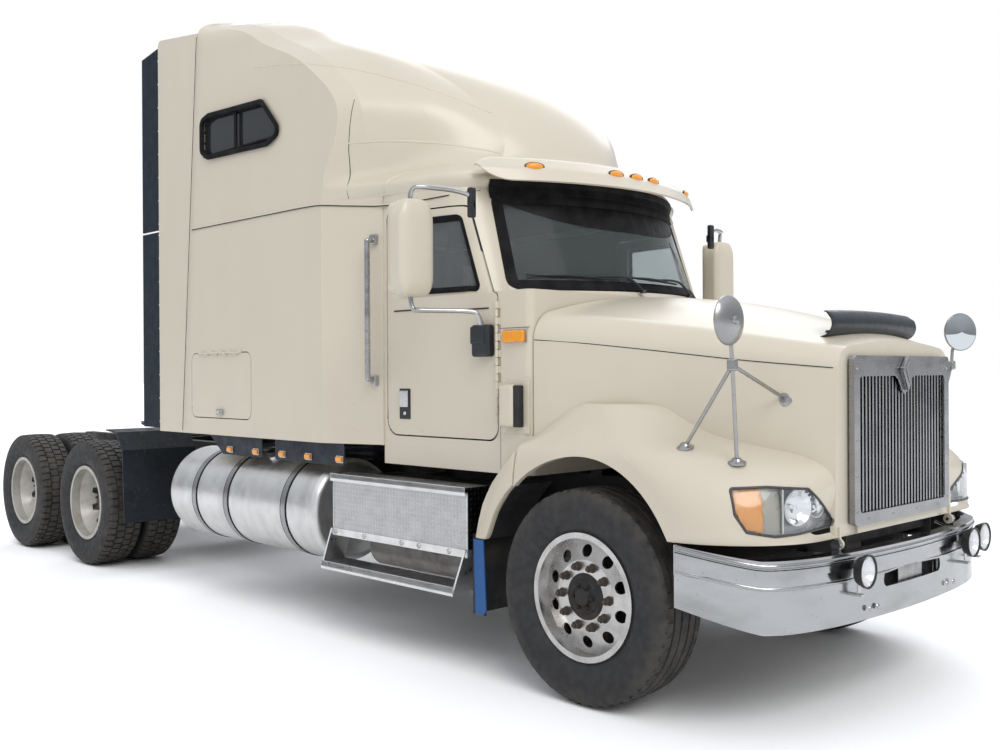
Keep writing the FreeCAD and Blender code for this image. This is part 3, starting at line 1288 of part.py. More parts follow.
def fifth_base():
    rails = [box(FIFTH_X - 420, FIFTH_X + 420, s * 390 - 40, s * 390 + 40, RAIL_Z1, RAIL_Z1 + 12) for s in (1, -1)]
    ears = [prism([(FIFTH_X - 90, RAIL_Z1 + 12), (FIFTH_X + 90, RAIL_Z1 + 12), (FIFTH_X + 40, TILT_Z + 24), (FIFTH_X - 40, TILT_Z + 24)],
                  0, "xz", s * 390 - 20, s * 390 + 20) for s in (1, -1)]
    pins = [cyl("y", 16, min(s * 330, s * 390), max(s * 330, s * 390), FIFTH_X, TILT_Z) for s in (1, -1)]
    cross = box(FIFTH_X - 60, FIFTH_X + 60, -390, 390, RAIL_Z1, RAIL_Z1 + 12)
    return fuse(rails + ears + pins + [cross])


def fifth_plate():
    top0, top1 = FIFTH_TOP - 24, FIFTH_TOP
    plate = prism([(FIFTH_X + 330, -PLATE_HALF_Y + 130), (FIFTH_X + 330, PLATE_HALF_Y - 130), (FIFTH_X + 120, PLATE_HALF_Y),
                   (FIFTH_X - 200, PLATE_HALF_Y), (FIFTH_X - 480, 330), (FIFTH_X - 480, 190), (FIFTH_X - 60, 40),
                   (FIFTH_X - 20, 0), (FIFTH_X - 60, -40), (FIFTH_X - 480, -190), (FIFTH_X - 480, -330),
                   (FIFTH_X - 200, -PLATE_HALF_Y)], 0, "xy", top0, top1)
    lugs = [prism([(FIFTH_X - 60, TILT_Z - 30), (FIFTH_X + 60, TILT_Z - 30), (FIFTH_X + 90, top0), (FIFTH_X - 90, top0)],
                  0, "xz", s * 340 - 18, s * 340 + 18) for s in (1, -1)]
    s = fuse([plate] + lugs)
    return s.cut(cyl("y", 16 + SEAT, -500, 500, FIFTH_X, TILT_Z))


save("fifth_wheel_base", fifth_base())
save("fifth_wheel_plate", fifth_plate())
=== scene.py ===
import math

import bpy
from mathutils import Matrix, Vector
from mathutils.bvhtree import BVHTree


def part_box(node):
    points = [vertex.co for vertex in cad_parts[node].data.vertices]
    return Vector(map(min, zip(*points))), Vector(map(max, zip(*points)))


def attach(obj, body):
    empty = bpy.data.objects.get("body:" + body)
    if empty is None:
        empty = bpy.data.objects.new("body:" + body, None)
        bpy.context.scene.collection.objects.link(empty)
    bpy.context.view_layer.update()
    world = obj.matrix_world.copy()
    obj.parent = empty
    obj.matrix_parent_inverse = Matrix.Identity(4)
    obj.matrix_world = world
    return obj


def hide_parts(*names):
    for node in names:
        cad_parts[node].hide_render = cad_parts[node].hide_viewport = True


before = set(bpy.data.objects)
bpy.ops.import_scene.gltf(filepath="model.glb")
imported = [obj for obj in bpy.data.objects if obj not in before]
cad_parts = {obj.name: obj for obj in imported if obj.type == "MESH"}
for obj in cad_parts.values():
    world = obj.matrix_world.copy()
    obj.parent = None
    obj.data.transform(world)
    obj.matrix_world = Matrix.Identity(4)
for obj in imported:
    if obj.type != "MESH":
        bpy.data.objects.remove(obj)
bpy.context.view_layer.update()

# ---- ground, studio and camera ------------------------------------------------------
# The truck stands on a pale, dull floor under a wide soft sky, darker at its horizon.
# The camera stands low at the right front corner, a truck's length away.
FLOOR_HALF = 160.0
FLOOR_DROP = 0.004
SKY = (0.86, 0.89, 0.94)
SKY_LIGHT = 0.64
EYE = Vector((6.3005, -4.8694, 1.5464))
LOOK = Vector((-0.71711, 0.69695, -0.00279))
ROLL = 0.0054
LENS = 38.69
# name, direction the light comes from, strength, angle across in degrees, colour
SUNS = (("sun_front", (0.80, -0.36, 0.80), 1.17, 32, (1.0, 0.985, 0.96)),
        ("sun_side", (-0.25, -0.95, 0.55), 0.06, 40, (1.0, 0.99, 0.97)),
        ("sun_back", (-0.6, 0.8, 0.75), 0.60, 40, (0.96, 0.98, 1.0)))


def add(mat, kind, inputs, out=0, **settings):
    """One output of a new node; each input is a constant or the output that feeds it."""
    new = mat.node_tree.nodes.new("ShaderNode" + kind)
    for key, value in settings.items():
        setattr(new, key, value)
    for key, value in inputs.items():
        if isinstance(value, bpy.types.NodeSocket):
            mat.node_tree.links.new(value, new.inputs[key])
        else:
            new.inputs[key].default_value = value
    return new.outputs[out]


def tune(mat, **values):
    """Constants of a material's shader, with _ for each space in a socket's name."""
    for key, value in values.items():
        mat.node_tree.nodes["Principled BSDF"].inputs[key.replace("_", " ")].default_value = value
    return mat


def surface(name, colour, rough, metallic=0.0):
    """New material with one colour and gloss."""
    mat = bpy.data.materials.new(name)
    mat.use_nodes = True
    return tune(mat, Base_Color=(*colour, 1), Roughness=rough, Metallic=metallic)


def shown_as(mat, rays, lighting, seen, output):
    """The first shader lights the truck, and the rays given see the second one."""
    mix = add(mat, "MixShader", {0: rays, 1: lighting.outputs[0], 2: seen})
    mat.node_tree.links.new(mix, mat.node_tree.nodes[output].inputs["Surface"])


def in_scene(name, data):
    """New object in the scene."""
    obj = bpy.data.objects.new(name, data)
    bpy.context.scene.collection.objects.link(obj)
    return obj


def aim(way, axis="Y", up="Z"):
    """Turn that points an axis of a piece along a direction."""
    return Vector(way).to_track_quat(axis, up).to_matrix().to_4x4()


world = bpy.data.worlds.new("studio")
bpy.context.scene.world = world
world.use_nodes = True
sky = world.node_tree.nodes["Background"]
sky.inputs["Color"].default_value = (*SKY, 1)
rise = add(world, "SeparateXYZ", {"Vector": add(world, "TexCoord", {}, "Generated")}, "Z")
fade = add(world, "MapRange", {"Value": rise, "From Min": -0.02, "From Max": 0.75,
                               "To Min": 0.50 * SKY_LIGHT, "To Max": 1.72 * SKY_LIGHT})
world.node_tree.links.new(fade, sky.inputs["Strength"])
seen_by = add(world, "Math", {0: add(world, "LightPath", {}, "Is Camera Ray"),
                              1: add(world, "LightPath", {}, "Is Transmission Ray")}, operation="MAXIMUM")
shown_as(world, seen_by, sky, add(world, "Background", {"Color": (1, 1, 1, 1)}), "World Output")

bpy.ops.object.select_all(action="DESELECT")
bpy.ops.mesh.primitive_plane_add(size=2 * FLOOR_HALF, location=(0, 0, -FLOOR_DROP))
bpy.ops.object.transform_apply(location=True, rotation=True, scale=True)
floor = bpy.context.object
floor.name = "floor"
pale = tune(surface("pale_floor", (0.93, 0.93, 0.93), 0.9), Specular_IOR_Level=0.1)
shown_as(pale, add(pale, "LightPath", {}, "Is Camera Ray"), pale.node_tree.nodes["Principled BSDF"],
         add(pale, "BsdfDiffuse", {"Color": (1.14, 1.14, 1.14, 1)}), "Material Output")
floor.data.materials.append(pale)

for name, way, strength, spread, colour in SUNS:
    lamp = bpy.data.lights.new(name, "SUN")
    lamp.energy, lamp.angle, lamp.color = strength, math.radians(spread), colour
    in_scene(name, lamp).matrix_world = aim(way, "Z", "Y")

side = LOOK.cross(Vector((0, 0, 1))).normalized()
above = side.cross(LOOK).normalized()
right = side * math.cos(ROLL) - above * math.sin(ROLL)
up = above * math.cos(ROLL) + side * math.sin(ROLL)
camera_data = bpy.data.cameras.new("camera")
camera_data.lens = LENS
camera_data.sensor_width = 36.0
camera = in_scene("camera", camera_data)
camera.matrix_world = Matrix.Translation(EYE) @ Matrix((right, up, -LOOK.normalized())).transposed().to_4x4()
bpy.context.scene.camera = camera
bpy.context.scene.view_settings.view_transform = "Standard"

# ---- painted cab, sleeper, roof and hood -------------------------------------------
# Sheet aluminium and moulded plastic in one cream enamel with a clear coat. Road dust
# dulls it towards the sills, and rain has drawn faint streaks down the upright sides.
CREAM = (0.635, 0.572, 0.462)
CREAM_AGED = (0.60, 0.538, 0.435)
ROAD_DUST = (0.36, 0.31, 0.25)
EVEN = (1, 1, 1)
AXLE_X = sum(c.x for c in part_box("front_tyre_left")) / 2


def patches(mat, scale, low, high, stretch=EVEN, detail=5.0):
    """Mask of cloudy patches in the object's own space, stretched along an axis at will."""
    where = add(mat, "Mapping", {"Vector": add(mat, "TexCoord", {}, "Object"), "Scale": stretch})
    cloud = add(mat, "TexNoise", {"Vector": where, "Scale": scale, "Detail": detail}, "Fac")
    return add(mat, "MapRange", {"Value": cloud, "From Min": low, "From Max": high})


def times(mat, one, other):
    """Product of two masks, or of a mask and a number."""
    return add(mat, "Math", {0: one, 1: other}, operation="MULTIPLY")


def lay_over(mat, colour, mask):
    """Lays a colour over what the surface already has, where the mask is high."""
    base = mat.node_tree.nodes["Principled BSDF"].inputs["Base Color"]
    under = base.links[0].from_socket if base.links else base.default_value
    mat.node_tree.links.new(add(mat, "Mix", {0: mask, 6: under, 7: (*colour, 1)}, 2, data_type="RGBA"), base)


def stain(mat, colour, share, *cloud):
    """Lays a share of a colour over cloudy patches."""
    lay_over(mat, colour, times(mat, patches(mat, *cloud), share))


def dull(mat, low, high, *cloud):
    """Roughness from low to high in cloudy patches."""
    rough = add(mat, "MapRange", {"Value": patches(mat, *cloud), "To Min": low, "To Max": high})
    mat.node_tree.links.new(rough, mat.node_tree.nodes["Principled BSDF"].inputs["Roughness"])


def emboss(mat, height, strength, mask):
    """Raises the surface by the mask; height is in metres."""
    normal = mat.node_tree.nodes["Principled BSDF"].inputs["Normal"]
    under = {"Normal": normal.links[0].from_socket} if normal.links else {}
    bump = add(mat, "Bump", {"Distance": height, "Strength": strength, "Height": mask, **under})
    mat.node_tree.links.new(bump, normal)


def grain(mat, height, strength, *cloud):
    """Cloudy bumps; height is in metres."""
    emboss(mat, height, strength, patches(mat, *cloud))


def dress(slot, mat, *nodes):
    """Gives CAD nodes their material; their finish slot is not used."""
    for node in nodes:
        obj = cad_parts[node]
        obj.data.materials.clear()
        obj.data.materials.append(mat)


cream = tune(surface("cream_enamel", CREAM, 0.3), Coat_Weight=0.4, Coat_Roughness=0.24)
stain(cream, CREAM_AGED, 0.30, 1.4, 0.35, 0.85, (1, 1, 0.6), 2.0)
stain(cream, ROAD_DUST, 0.05, 6.0, 0.3, 0.9, (1, 1, 0.2), 2.0)
height = add(cream, "SeparateXYZ", {"Vector": add(cream, "TexCoord", {}, "Object")}, "Z")
low = add(cream, "MapRange", {"Value": height, "From Min": 1.75, "From Max": 0.75})
lay_over(cream, ROAD_DUST, times(cream, times(cream, low, patches(cream, 3.0, 0.25, 0.8)), 0.22))
dull(cream, 0.32, 0.44, 2.5, 0.2, 0.85, EVEN, 1.0)
grain(cream, 0.0004, 0.04, 120.0, 0.2, 0.8, EVEN, 0.0)
dress("cream_paint", cream, "cab_shell", "sleeper_shell", "roof_fairing", "side_extenders", "fender_extensions",
      "hood_shell", "door_left", "door_right", "luggage_door_left", "luggage_door_right",
      "door_mirror_left", "door_mirror_right", "sun_visor")

# ---- ladder frame, springs and axles ------------------------------------------------
# Steel rails, beams and brackets under worn black chassis paint, grey with road film.
# Engine, knuckles and couplings are bare castings, oily and rust-stained.
RUST = (0.16, 0.075, 0.035)


def chassis_paint(name, colour, film):
    """Worn black paint with a film of road dirt."""
    mat = tune(surface(name, colour, 0.5), Specular_IOR_Level=0.35)
    stain(mat, film, 0.6, 4.0, 0.35, 0.8)
    stain(mat, RUST, 0.35, 30.0, 0.62, 0.72)
    dull(mat, 0.38, 0.72, 12.0, 0.3, 0.7)
    grain(mat, 0.0008, 0.3, 120.0, 0.3, 0.7)
    return mat


def casting(name, colour, rust_colour):
    """Rough cast iron with rust stains."""
    mat = surface(name, colour, 0.6, 0.35)
    stain(mat, rust_colour, 0.7, 9.0, 0.45, 0.75)
    dull(mat, 0.45, 0.8, 20.0, 0.3, 0.7)
    grain(mat, 0.001, 0.5, 180.0, 0.3, 0.7)
    return mat


black_frame = chassis_paint("chassis_black", (0.022, 0.022, 0.024), (0.10, 0.095, 0.088))
navy_skirt = chassis_paint("navy_skirt", (0.014, 0.020, 0.032), (0.050, 0.058, 0.070))
navy_fender = chassis_paint("navy_fender", (0.006, 0.010, 0.015), (0.019, 0.025, 0.032))
iron = casting("cast_iron", (0.075, 0.07, 0.065), (0.15, 0.075, 0.035))
dress("black_paint", black_frame, "frame_rails", "front_axle", "drive_axles", "cab_mounts", "fifth_wheel_base",
      "radiator")
dress("black_paint", navy_fender, "drive_fenders")
dress("black_paint", navy_skirt, "sleeper_skirts")
dress("iron", iron, "engine_block", "knuckle_left", "knuckle_right", "tie_rod", "fifth_wheel_plate")

# ---- tyres ---------------------------------------------------------------------------
# Ten truck tyres of 1.01 m. The front ones have five ribs with notched shoulders, the
# drive tyres rows of staggered blocks. Soil sits in the grooves and on the sidewalls.
SIDES = ((-1, "right"), (1, "left"))
AXLES = ("forward", "rear")
FRONT_LO, FRONT_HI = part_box("front_tyre_left")
TYRE_R = (FRONT_HI.z - FRONT_LO.z) / 2 - 0.0004
AXLE_Z = (FRONT_LO.z + FRONT_HI.z) / 2
TYRE_Y = (FRONT_LO.y + FRONT_HI.y) / 2
TYRE_HALF = (FRONT_HI.y - FRONT_LO.y) / 2
DRIVE_LO, DRIVE_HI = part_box("tyres_forward_left")
DUAL_OUT_Y, DUAL_IN_Y = DRIVE_HI.y - TYRE_HALF, DRIVE_LO.y + TYRE_HALF
BEAD_R, BEAD_HALF = 0.2925, 0.113
TREAD_HALF = 0.120
GROOVE = 0.015
CROWN = 0.006
RIB_STEPS, RIB_GROOVES = 144, (-0.078, -0.028, 0.028, 0.078)
BLOCK_STEPS, BLOCK_GROOVES = 212, (-0.070, 0.0, 0.070)


def clear():
    """Nothing selected, object mode."""
    if bpy.context.object and bpy.context.object.mode != "OBJECT":
        bpy.ops.object.mode_set(mode="OBJECT")
    bpy.ops.object.select_all(action="DESELECT")


def activate(obj):
    """One object selected and active, object mode."""
    clear()
    obj.select_set(True)
    bpy.context.view_layer.objects.active = obj


def primitive(maker, name, **sizes):
    """One of Blender's starting shapes."""
    clear()
    maker(**sizes)
    bpy.context.object.name = name
    return bpy.context.object


def edit(obj, *steps, pick=None):
    """Runs steps in edit mode, on the whole mesh or on the faces that a rule picks."""
    activate(obj)
    bpy.ops.object.mode_set(mode="EDIT")
    if pick:
        bpy.ops.mesh.select_mode(type="FACE")
        bpy.ops.mesh.select_all(action="DESELECT")
        bpy.ops.object.mode_set(mode="OBJECT")
        for face in obj.data.polygons:
            face.select = pick(face)
        bpy.ops.object.mode_set(mode="EDIT")
    else:
        bpy.ops.mesh.select_all(action="SELECT")
    for step in steps:
        step()
    bpy.ops.object.mode_set(mode="OBJECT")
    return obj


def outward():
    """Turns all faces of the mesh in edit mode outwards."""
    bpy.ops.mesh.normals_make_consistent(inside=False)


def arc(first, middle, last, count):
    """Points on the circle through three points, the two ends among them."""
    (ax, ay), (bx, by), (cx, cy) = first, middle, last
    d = 2 * (ax * (by - cy) + bx * (cy - ay) + cx * (ay - by))
    aa, bb, cc = ax * ax + ay * ay, bx * bx + by * by, cx * cx + cy * cy
    ux = (aa * (by - cy) + bb * (cy - ay) + cc * (ay - by)) / d
    uy = (aa * (cx - bx) + bb * (ax - cx) + cc * (bx - ax)) / d
    r = math.hypot(ax - ux, ay - uy)
    start, mid, end = (math.atan2(y - uy, x - ux) for x, y in (first, middle, last))
    turn = (end - start) % (2 * math.pi)
    if (mid - start) % (2 * math.pi) > turn:
        turn -= 2 * math.pi
    steps = [start + turn * i / (count - 1) for i in range(count)]
    return [(ux + r * math.cos(a), uy + r * math.sin(a)) for a in steps]


def moved(obj, *turns):
    """Moves or turns a mesh by matrices, the last one first."""
    whole = Matrix.Identity(4)
    for turn in turns:
        whole = whole @ turn
    obj.data.transform(whole)
    return obj


def smooth(obj, degrees=35):
    """Smooth shading with sharp edges kept."""
    activate(obj)
    bpy.ops.object.shade_smooth_by_angle(angle=math.radians(degrees))
    return obj


def turned(name, outline, steps=48):
    """Ring turned about the Y axis from a closed outline of (across, radius)."""
    ring = primitive(bpy.ops.mesh.primitive_circle_add, name, vertices=len(outline))
    for v, (across, r) in zip(ring.data.vertices, outline):
        v.co = (0, across, r)
    edit(ring, lambda: bpy.ops.mesh.spin(steps=steps, angle=2 * math.pi, center=(0, 0, 0), axis=(0, 1, 0)))
    return edit(ring, lambda: bpy.ops.mesh.remove_doubles(threshold=2e-5), outward)


def settle(obj, body, slot, *mats):
    """Finish and body of a new piece; the slot is not used."""
    obj.data.materials.clear()
    for mat in mats:
        obj.data.materials.append(mat)
    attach(obj, body)
    return obj


def twin(obj, name, flip=False, move=(0, 0, 0)):
    """Copy with its own mesh, on the other side of the truck or moved along it."""
    new = in_scene(name, obj.data.copy())
    if flip:
        new.data.transform(Matrix.Scale(-1, 4, (0, 1, 0)))
        new.data.flip_normals()
    new.data.transform(Matrix.Translation(move))
    return new


def pair(obj, name, body, slot, *mats):
    """Settles a piece of the left side and its mirrored copy."""
    settle(twin(obj, name + "_right", True), body, slot, *mats)
    obj.name = name + "_left"
    return settle(obj, body, slot, *mats)


def joined(name, pieces):
    """One object of several."""
    clear()
    for piece in pieces:
        piece.select_set(True)
    bpy.context.view_layer.objects.active = pieces[0]
    if len(pieces) > 1:
        bpy.ops.object.join()
    pieces[0].name = name
    return pieces[0]


def drop(*makers):
    """Removes the pieces that others were copied from."""
    for maker in makers:
        bpy.data.objects.remove(maker)


def tyre_outline(grooves, width):
    """Section of a tyre from bead to bead, with grooves of a width round its tread."""
    def top(across):
        return TYRE_R - CROWN * (across / TREAD_HALF) ** 2

    def wall(side):
        run = arc((side * BEAD_HALF, 0.303), (side * TYRE_HALF, 0.381), (side * (TYRE_HALF - 0.014), 0.483), 13)
        for i, proud in ((2, 0.0025), (10, -0.0025)):
            across, r = run[i]
            if abs(across) < TYRE_HALF - 0.004:
                run[i] = (across + side * proud, r)
        return run
    line = [(-TREAD_HALF - 0.006, TYRE_R - 0.013), (-TREAD_HALF, top(TREAD_HALF))]
    for g in grooves:
        line += [(g - width / 2, top(g)), (g - width / 2 + 0.003, top(g) - GROOVE),
                 (g + width / 2 - 0.003, top(g) - GROOVE), (g + width / 2, top(g))]
    line += [(TREAD_HALF, top(TREAD_HALF)), (TREAD_HALF + 0.006, TYRE_R - 0.013)]
    return [(-BEAD_HALF, BEAD_R)] + wall(-1) + line + wall(1)[::-1] + [(BEAD_HALF, BEAD_R)]


def sink(ring, steps, depth, rule, rim=0.0):
    """Sinks the faces that a rule picks by their step round the tyre, place across and radius."""
    def picked(face):
        x, y, z = face.center
        step = int(math.atan2(x, z) / (2 * math.pi) * steps + steps + 0.5) % steps
        return rule(step, y, math.hypot(x, z))
    if rim:
        edit(ring, lambda: bpy.ops.mesh.inset(thickness=rim, use_individual=True),
             lambda: bpy.ops.transform.shrink_fatten(value=-depth), pick=picked)
    else:
        edit(ring, lambda: bpy.ops.mesh.extrude_region_shrink_fatten(
            TRANSFORM_OT_shrink_fatten={"value": -depth}), pick=picked)


def soil(obj, full_r, none_r):
    """Stores how much soil lies on each point: most in the grooves and low on the walls."""
    layer = obj.data.attributes.new("soil", "FLOAT", "POINT")
    for v in obj.data.vertices:
        r = math.hypot(v.co.x, v.co.z)
        deep = 1.0 if TYRE_R - 0.02 < r < TYRE_R - 0.009 and abs(v.co.y) < TREAD_HALF else 0.0
        fade = max(0.0, min(1.0, (r - none_r) / (full_r - none_r)))
        layer.data[v.index].value = max(deep, 0.45 * fade)


tyre_rubber = surface("tyre_rubber", (0.020, 0.020, 0.021), 0.7)
stain(tyre_rubber, (0.045, 0.043, 0.041), 0.35, 7.0, 0.35, 0.75)
soiled = times(tyre_rubber, add(tyre_rubber, "Attribute", {}, "Fac", attribute_name="soil"),
               patches(tyre_rubber, 14.0, 0.3, 0.62))
lay_over(tyre_rubber, (0.20, 0.165, 0.125), times(tyre_rubber, soiled, 0.42))
dull(tyre_rubber, 0.55, 0.85, 25.0, 0.3, 0.7)
grain(tyre_rubber, 0.0008, 0.35, 220.0, 0.3, 0.7)

rib_tyre = turned("rib_tyre", tyre_outline(RIB_GROOVES, 0.013), RIB_STEPS)
sink(rib_tyre, RIB_STEPS, 0.005, lambda n, y, r: n % 3 == 0 and TREAD_HALF < abs(y) < TREAD_HALF + 0.004)
sink(rib_tyre, RIB_STEPS, 0.005,
     lambda n, y, r: n % 3 == 1 and abs(abs(y) - 0.099) < 0.019 and r > TYRE_R - 0.008, rim=0.004)
block_tyre = turned("block_tyre", tyre_outline(BLOCK_GROOVES, 0.011), BLOCK_STEPS)
sink(block_tyre, BLOCK_STEPS, 0.012,
     lambda n, y, r: (n + 2 * (int((y + TREAD_HALF) / 0.07) % 2)) % 4 == 0 and r > TYRE_R - 0.0085)
sink(block_tyre, BLOCK_STEPS, 0.009, lambda n, y, r: n % 4 == 0 and abs(y) > TREAD_HALF and r > TYRE_R - 0.026)
for ring in (rib_tyre, block_tyre):
    soil(ring, TYRE_R, TYRE_R - 0.09)
    smooth(ring, 30)
for s, label in SIDES:
    piece = twin(rib_tyre, "steer_tyre_" + label, move=(AXLE_X, s * TYRE_Y, AXLE_Z))
    settle(piece, "wheel_front_" + label, "tyre", tyre_rubber)
    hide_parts("front_tyre_" + label)
    for axle in AXLES:
        node = "tyres_%s_%s" % (axle, label)
        middle = sum(c.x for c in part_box(node)) / 2
        piece = joined("drive_" + node, [twin(block_tyre, "twin_tyre", move=(middle, s * y, AXLE_Z))
                                         for y in (DUAL_OUT_Y, DUAL_IN_Y)])
        settle(piece, "wheels_%s_%s" % (axle, label), "tyre", tyre_rubber)
        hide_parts(node)
drop(rib_tyre, block_tyre)

# ---- wheels, hubs and nuts ------------------------------------------------------------
# Polished forged aluminium in front, dished painted steel behind, each held by ten
# flanged nuts gone rusty. The front hubs are dark castings, the drive hubs rusty flanges.
NUT_CIRCLE = 0.1429
NUT_R, NUT_HIGH, STUD_HIGH = 0.019, 0.030, 0.044
NUTS = 10
FRONT_FACE, DRIVE_FACE = 0.092, 0.014
SMALL = Matrix.Scale(0.55, 4)
# across and radius, from the middle of the tyre or from the joint of the twin rims
COLLAR = ((0.0, 0.006), (0.0, NUT_R + 0.004), (0.004, NUT_R + 0.003), (0.006, NUT_R - 0.004), (0.006, 0.006))
STUD = ((0.004, 0.0005), (0.004, 0.010), (STUD_HIGH - 0.003, 0.010), (STUD_HIGH, 0.007), (STUD_HIGH, 0.0005))
FRONT_HUB = ((0.078, 0.001), (0.078, 0.112), (0.090, 0.112), (0.096, 0.104), (0.098, 0.084), (0.106, 0.076),
             (0.106, 0.046), (0.120, 0.040), (0.124, 0.030), (0.124, 0.001))
DRUM = ((-0.005, 0.001), (-0.005, 0.215), (-0.012, 0.235), (-0.080, 0.235), (-0.080, 0.001))
DRIVE_HUB = ((0.020, 0.107), (0.014, 0.107), (0.014, 0.092), (0.137, 0.092), (0.152, 0.093), (0.160, 0.092),
             (0.160, 0.052), (0.176, 0.046), (0.180, 0.034), (0.180, 0.001), (0.014, 0.001))


def metal(name, colour, low, high, dirt, share):
    """Bare or thinly painted metal with stains and brushed gloss."""
    mat = surface(name, colour, low, 1.0)
    stain(mat, dirt, share, 12.0, 0.45, 0.8)
    dull(mat, low, high, 18.0, 0.3, 0.75)
    grain(mat, 0.0004, 0.15, 160.0, 0.3, 0.7)
    return mat


def ring_of(piece, name, count, radius, across):
    """Copies of a piece round the wheel's axis, joined."""
    return joined(name, [moved(twin(piece, name), Matrix.Rotation(2 * math.pi * (i + 0.5) / count, 4, "Y"),
                               Matrix.Translation((0, across, radius))) for i in range(count)])


aluminium = metal("polished_aluminium", (0.58, 0.57, 0.56), 0.20, 0.42, (0.26, 0.23, 0.20), 0.55)
wheel_steel = metal("wheel_enamel", (0.50, 0.485, 0.45), 0.38, 0.62, (0.24, 0.17, 0.11), 0.55)
tune(wheel_steel, Metallic=0.35)
rust = casting("rusty_steel", (0.080, 0.060, 0.048), (0.045, 0.035, 0.030))
hub_iron = casting("hub_iron", (0.028, 0.027, 0.026), (0.085, 0.055, 0.035))
dress("aluminium", aluminium, "front_rim_left", "front_rim_right")
dress("steel", wheel_steel, *["rims_%s_%s" % (axle, label) for axle in AXLES for _, label in SIDES])
collar = turned("collar", COLLAR, 12)
hexagon = primitive(bpy.ops.mesh.primitive_cylinder_add, "hexagon", vertices=6, radius=NUT_R, depth=NUT_HIGH)
moved(hexagon, Matrix.Translation((0, NUT_HIGH / 2, 0)), Matrix.Rotation(math.pi / 2, 4, "X"))
edit(hexagon, lambda: bpy.ops.mesh.bevel(offset=0.002, segments=1))
nut = joined("nut", [collar, hexagon, turned("stud", STUD, 10)])
small = moved(twin(nut, "small_nut"), SMALL)
front_nuts = ring_of(nut, "front_nuts", NUTS, NUT_CIRCLE, FRONT_FACE)
front_bolts = ring_of(small, "front_bolts", 6, 0.058, FRONT_FACE + 0.014)
drive_nuts = ring_of(nut, "drive_nuts", NUTS, NUT_CIRCLE, DRIVE_FACE)
flange_bolts = ring_of(small, "flange_bolts", 8, 0.070, 0.160)
front_hub, drive_hub = smooth(turned("front_hub", FRONT_HUB), 28), smooth(turned("drive_hub", DRIVE_HUB), 28)
# the brake drum fills what would show as daylight through the hand holes
front_drum = smooth(turned("front_drum", DRUM), 28)
for s, label in SIDES:
    for source, name, mat in ((front_hub, "front_hub_", hub_iron), (front_nuts, "front_nuts_", rust),
                              (front_bolts, "front_hub_bolts_", hub_iron), (front_drum, "front_drum_", hub_iron)):
        piece = twin(source, name + label, s < 0, (AXLE_X, s * TYRE_Y, AXLE_Z))
        settle(piece, "wheel_front_" + label, "iron", mat)
    for axle in AXLES:
        middle = sum(c.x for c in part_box("tyres_%s_%s" % (axle, label))) / 2
        for source, name in ((drive_hub, "drive_hub"), (drive_nuts, "drive_nuts"), (flange_bolts, "drive_hub_bolts")):
            piece = twin(source, "%s_%s_%s" % (name, axle, label), s < 0,
                         (middle, s * (DUAL_OUT_Y + DUAL_IN_Y) / 2, AXLE_Z))
            settle(piece, "wheels_%s_%s" % (axle, label), "iron", rust)
drop(nut, small, front_nuts, drive_nuts, front_bolts, flange_bolts, front_hub, front_drum, drive_hub)

# ---- bumper ---------------------------------------------------------------------------
# One pressed band of bright steel with a rolled lip, scuffed and stone-chipped. The
# bolts beside the towing slot hold it to the rails, with a dull film over the polish.
# height of the band's upper edge in front, where it starts to climb, and how steeply
BAND_TOP, BAND_TURN, BAND_CLIMB = 0.750, AXLE_X + 0.880, 0.20
# how far the band reaches round on each side, in degrees, and in how many places
BAND_REACH, BAND_PLACES = 74.4, 73


def at(x, y, z):
    """Place measured from the front axle, across the truck and up from the ground."""
    return Vector((AXLE_X + x, y, z))


def block(name, low, high, bevel=0.002, segments=2):
    """Box between two corners with its edges eased."""
    box = primitive(bpy.ops.mesh.primitive_cube_add, name, size=1.0)
    low, high = Vector(low), Vector(high)
    moved(box, Matrix.Translation((low + high) / 2), Matrix.Diagonal((*(high - low), 1)))
    return edit(box, lambda: bpy.ops.mesh.bevel(offset=bevel, segments=segments))


def side_block(name, s, x, y, z, bevel=0.002, segments=2):
    """Box on one side, s = -1 on the right, from its two ends along, outwards and up."""
    y0, y1 = sorted((s * y[0], s * y[1]))
    return block(name, at(x[0], y0, z[0]), at(x[1], y1, z[1]), bevel, segments)


def slab(name, points, place, thick, bevel=0.0):
    """Flat outline turned into a plate: place puts (a, b, depth) where it belongs."""
    plate = primitive(bpy.ops.mesh.primitive_circle_add, name, vertices=len(points), fill_type="NGON")
    for v, (a, b) in zip(plate.data.vertices, points):
        v.co = (a, b, 0)
    edit(plate, lambda: bpy.ops.mesh.extrude_region_move(TRANSFORM_OT_translate={"value": (0, 0, thick)}))
    if bevel:
        edit(plate, lambda: bpy.ops.mesh.bevel(offset=bevel, segments=2))
    for v in plate.data.vertices:
        v.co = place(*v.co)
    return edit(plate, outward)


def rounded(points, radii, count=6):
    """Outline with each corner rounded to its radius, as points."""
    out = []
    n = len(points)
    if not isinstance(radii, (tuple, list)):
        radii = [radii] * n
    for i in range(n):
        p = Vector(points[i])
        a = (Vector(points[i - 1]) - p).normalized()
        b = (Vector(points[(i + 1) % n]) - p).normalized()
        half = a.angle(b) / 2
        if radii[i] <= 0 or abs(half - math.pi / 2) < 1e-4:
            out.append(tuple(p))
            continue
        t = radii[i] / math.tan(half)
        centre = p + (a + b).normalized() * (radii[i] / math.sin(half))
        mid = centre + (p - centre).normalized() * radii[i]
        out += arc(tuple(p + a * t), tuple(mid), tuple(p + b * t), count)
    return out


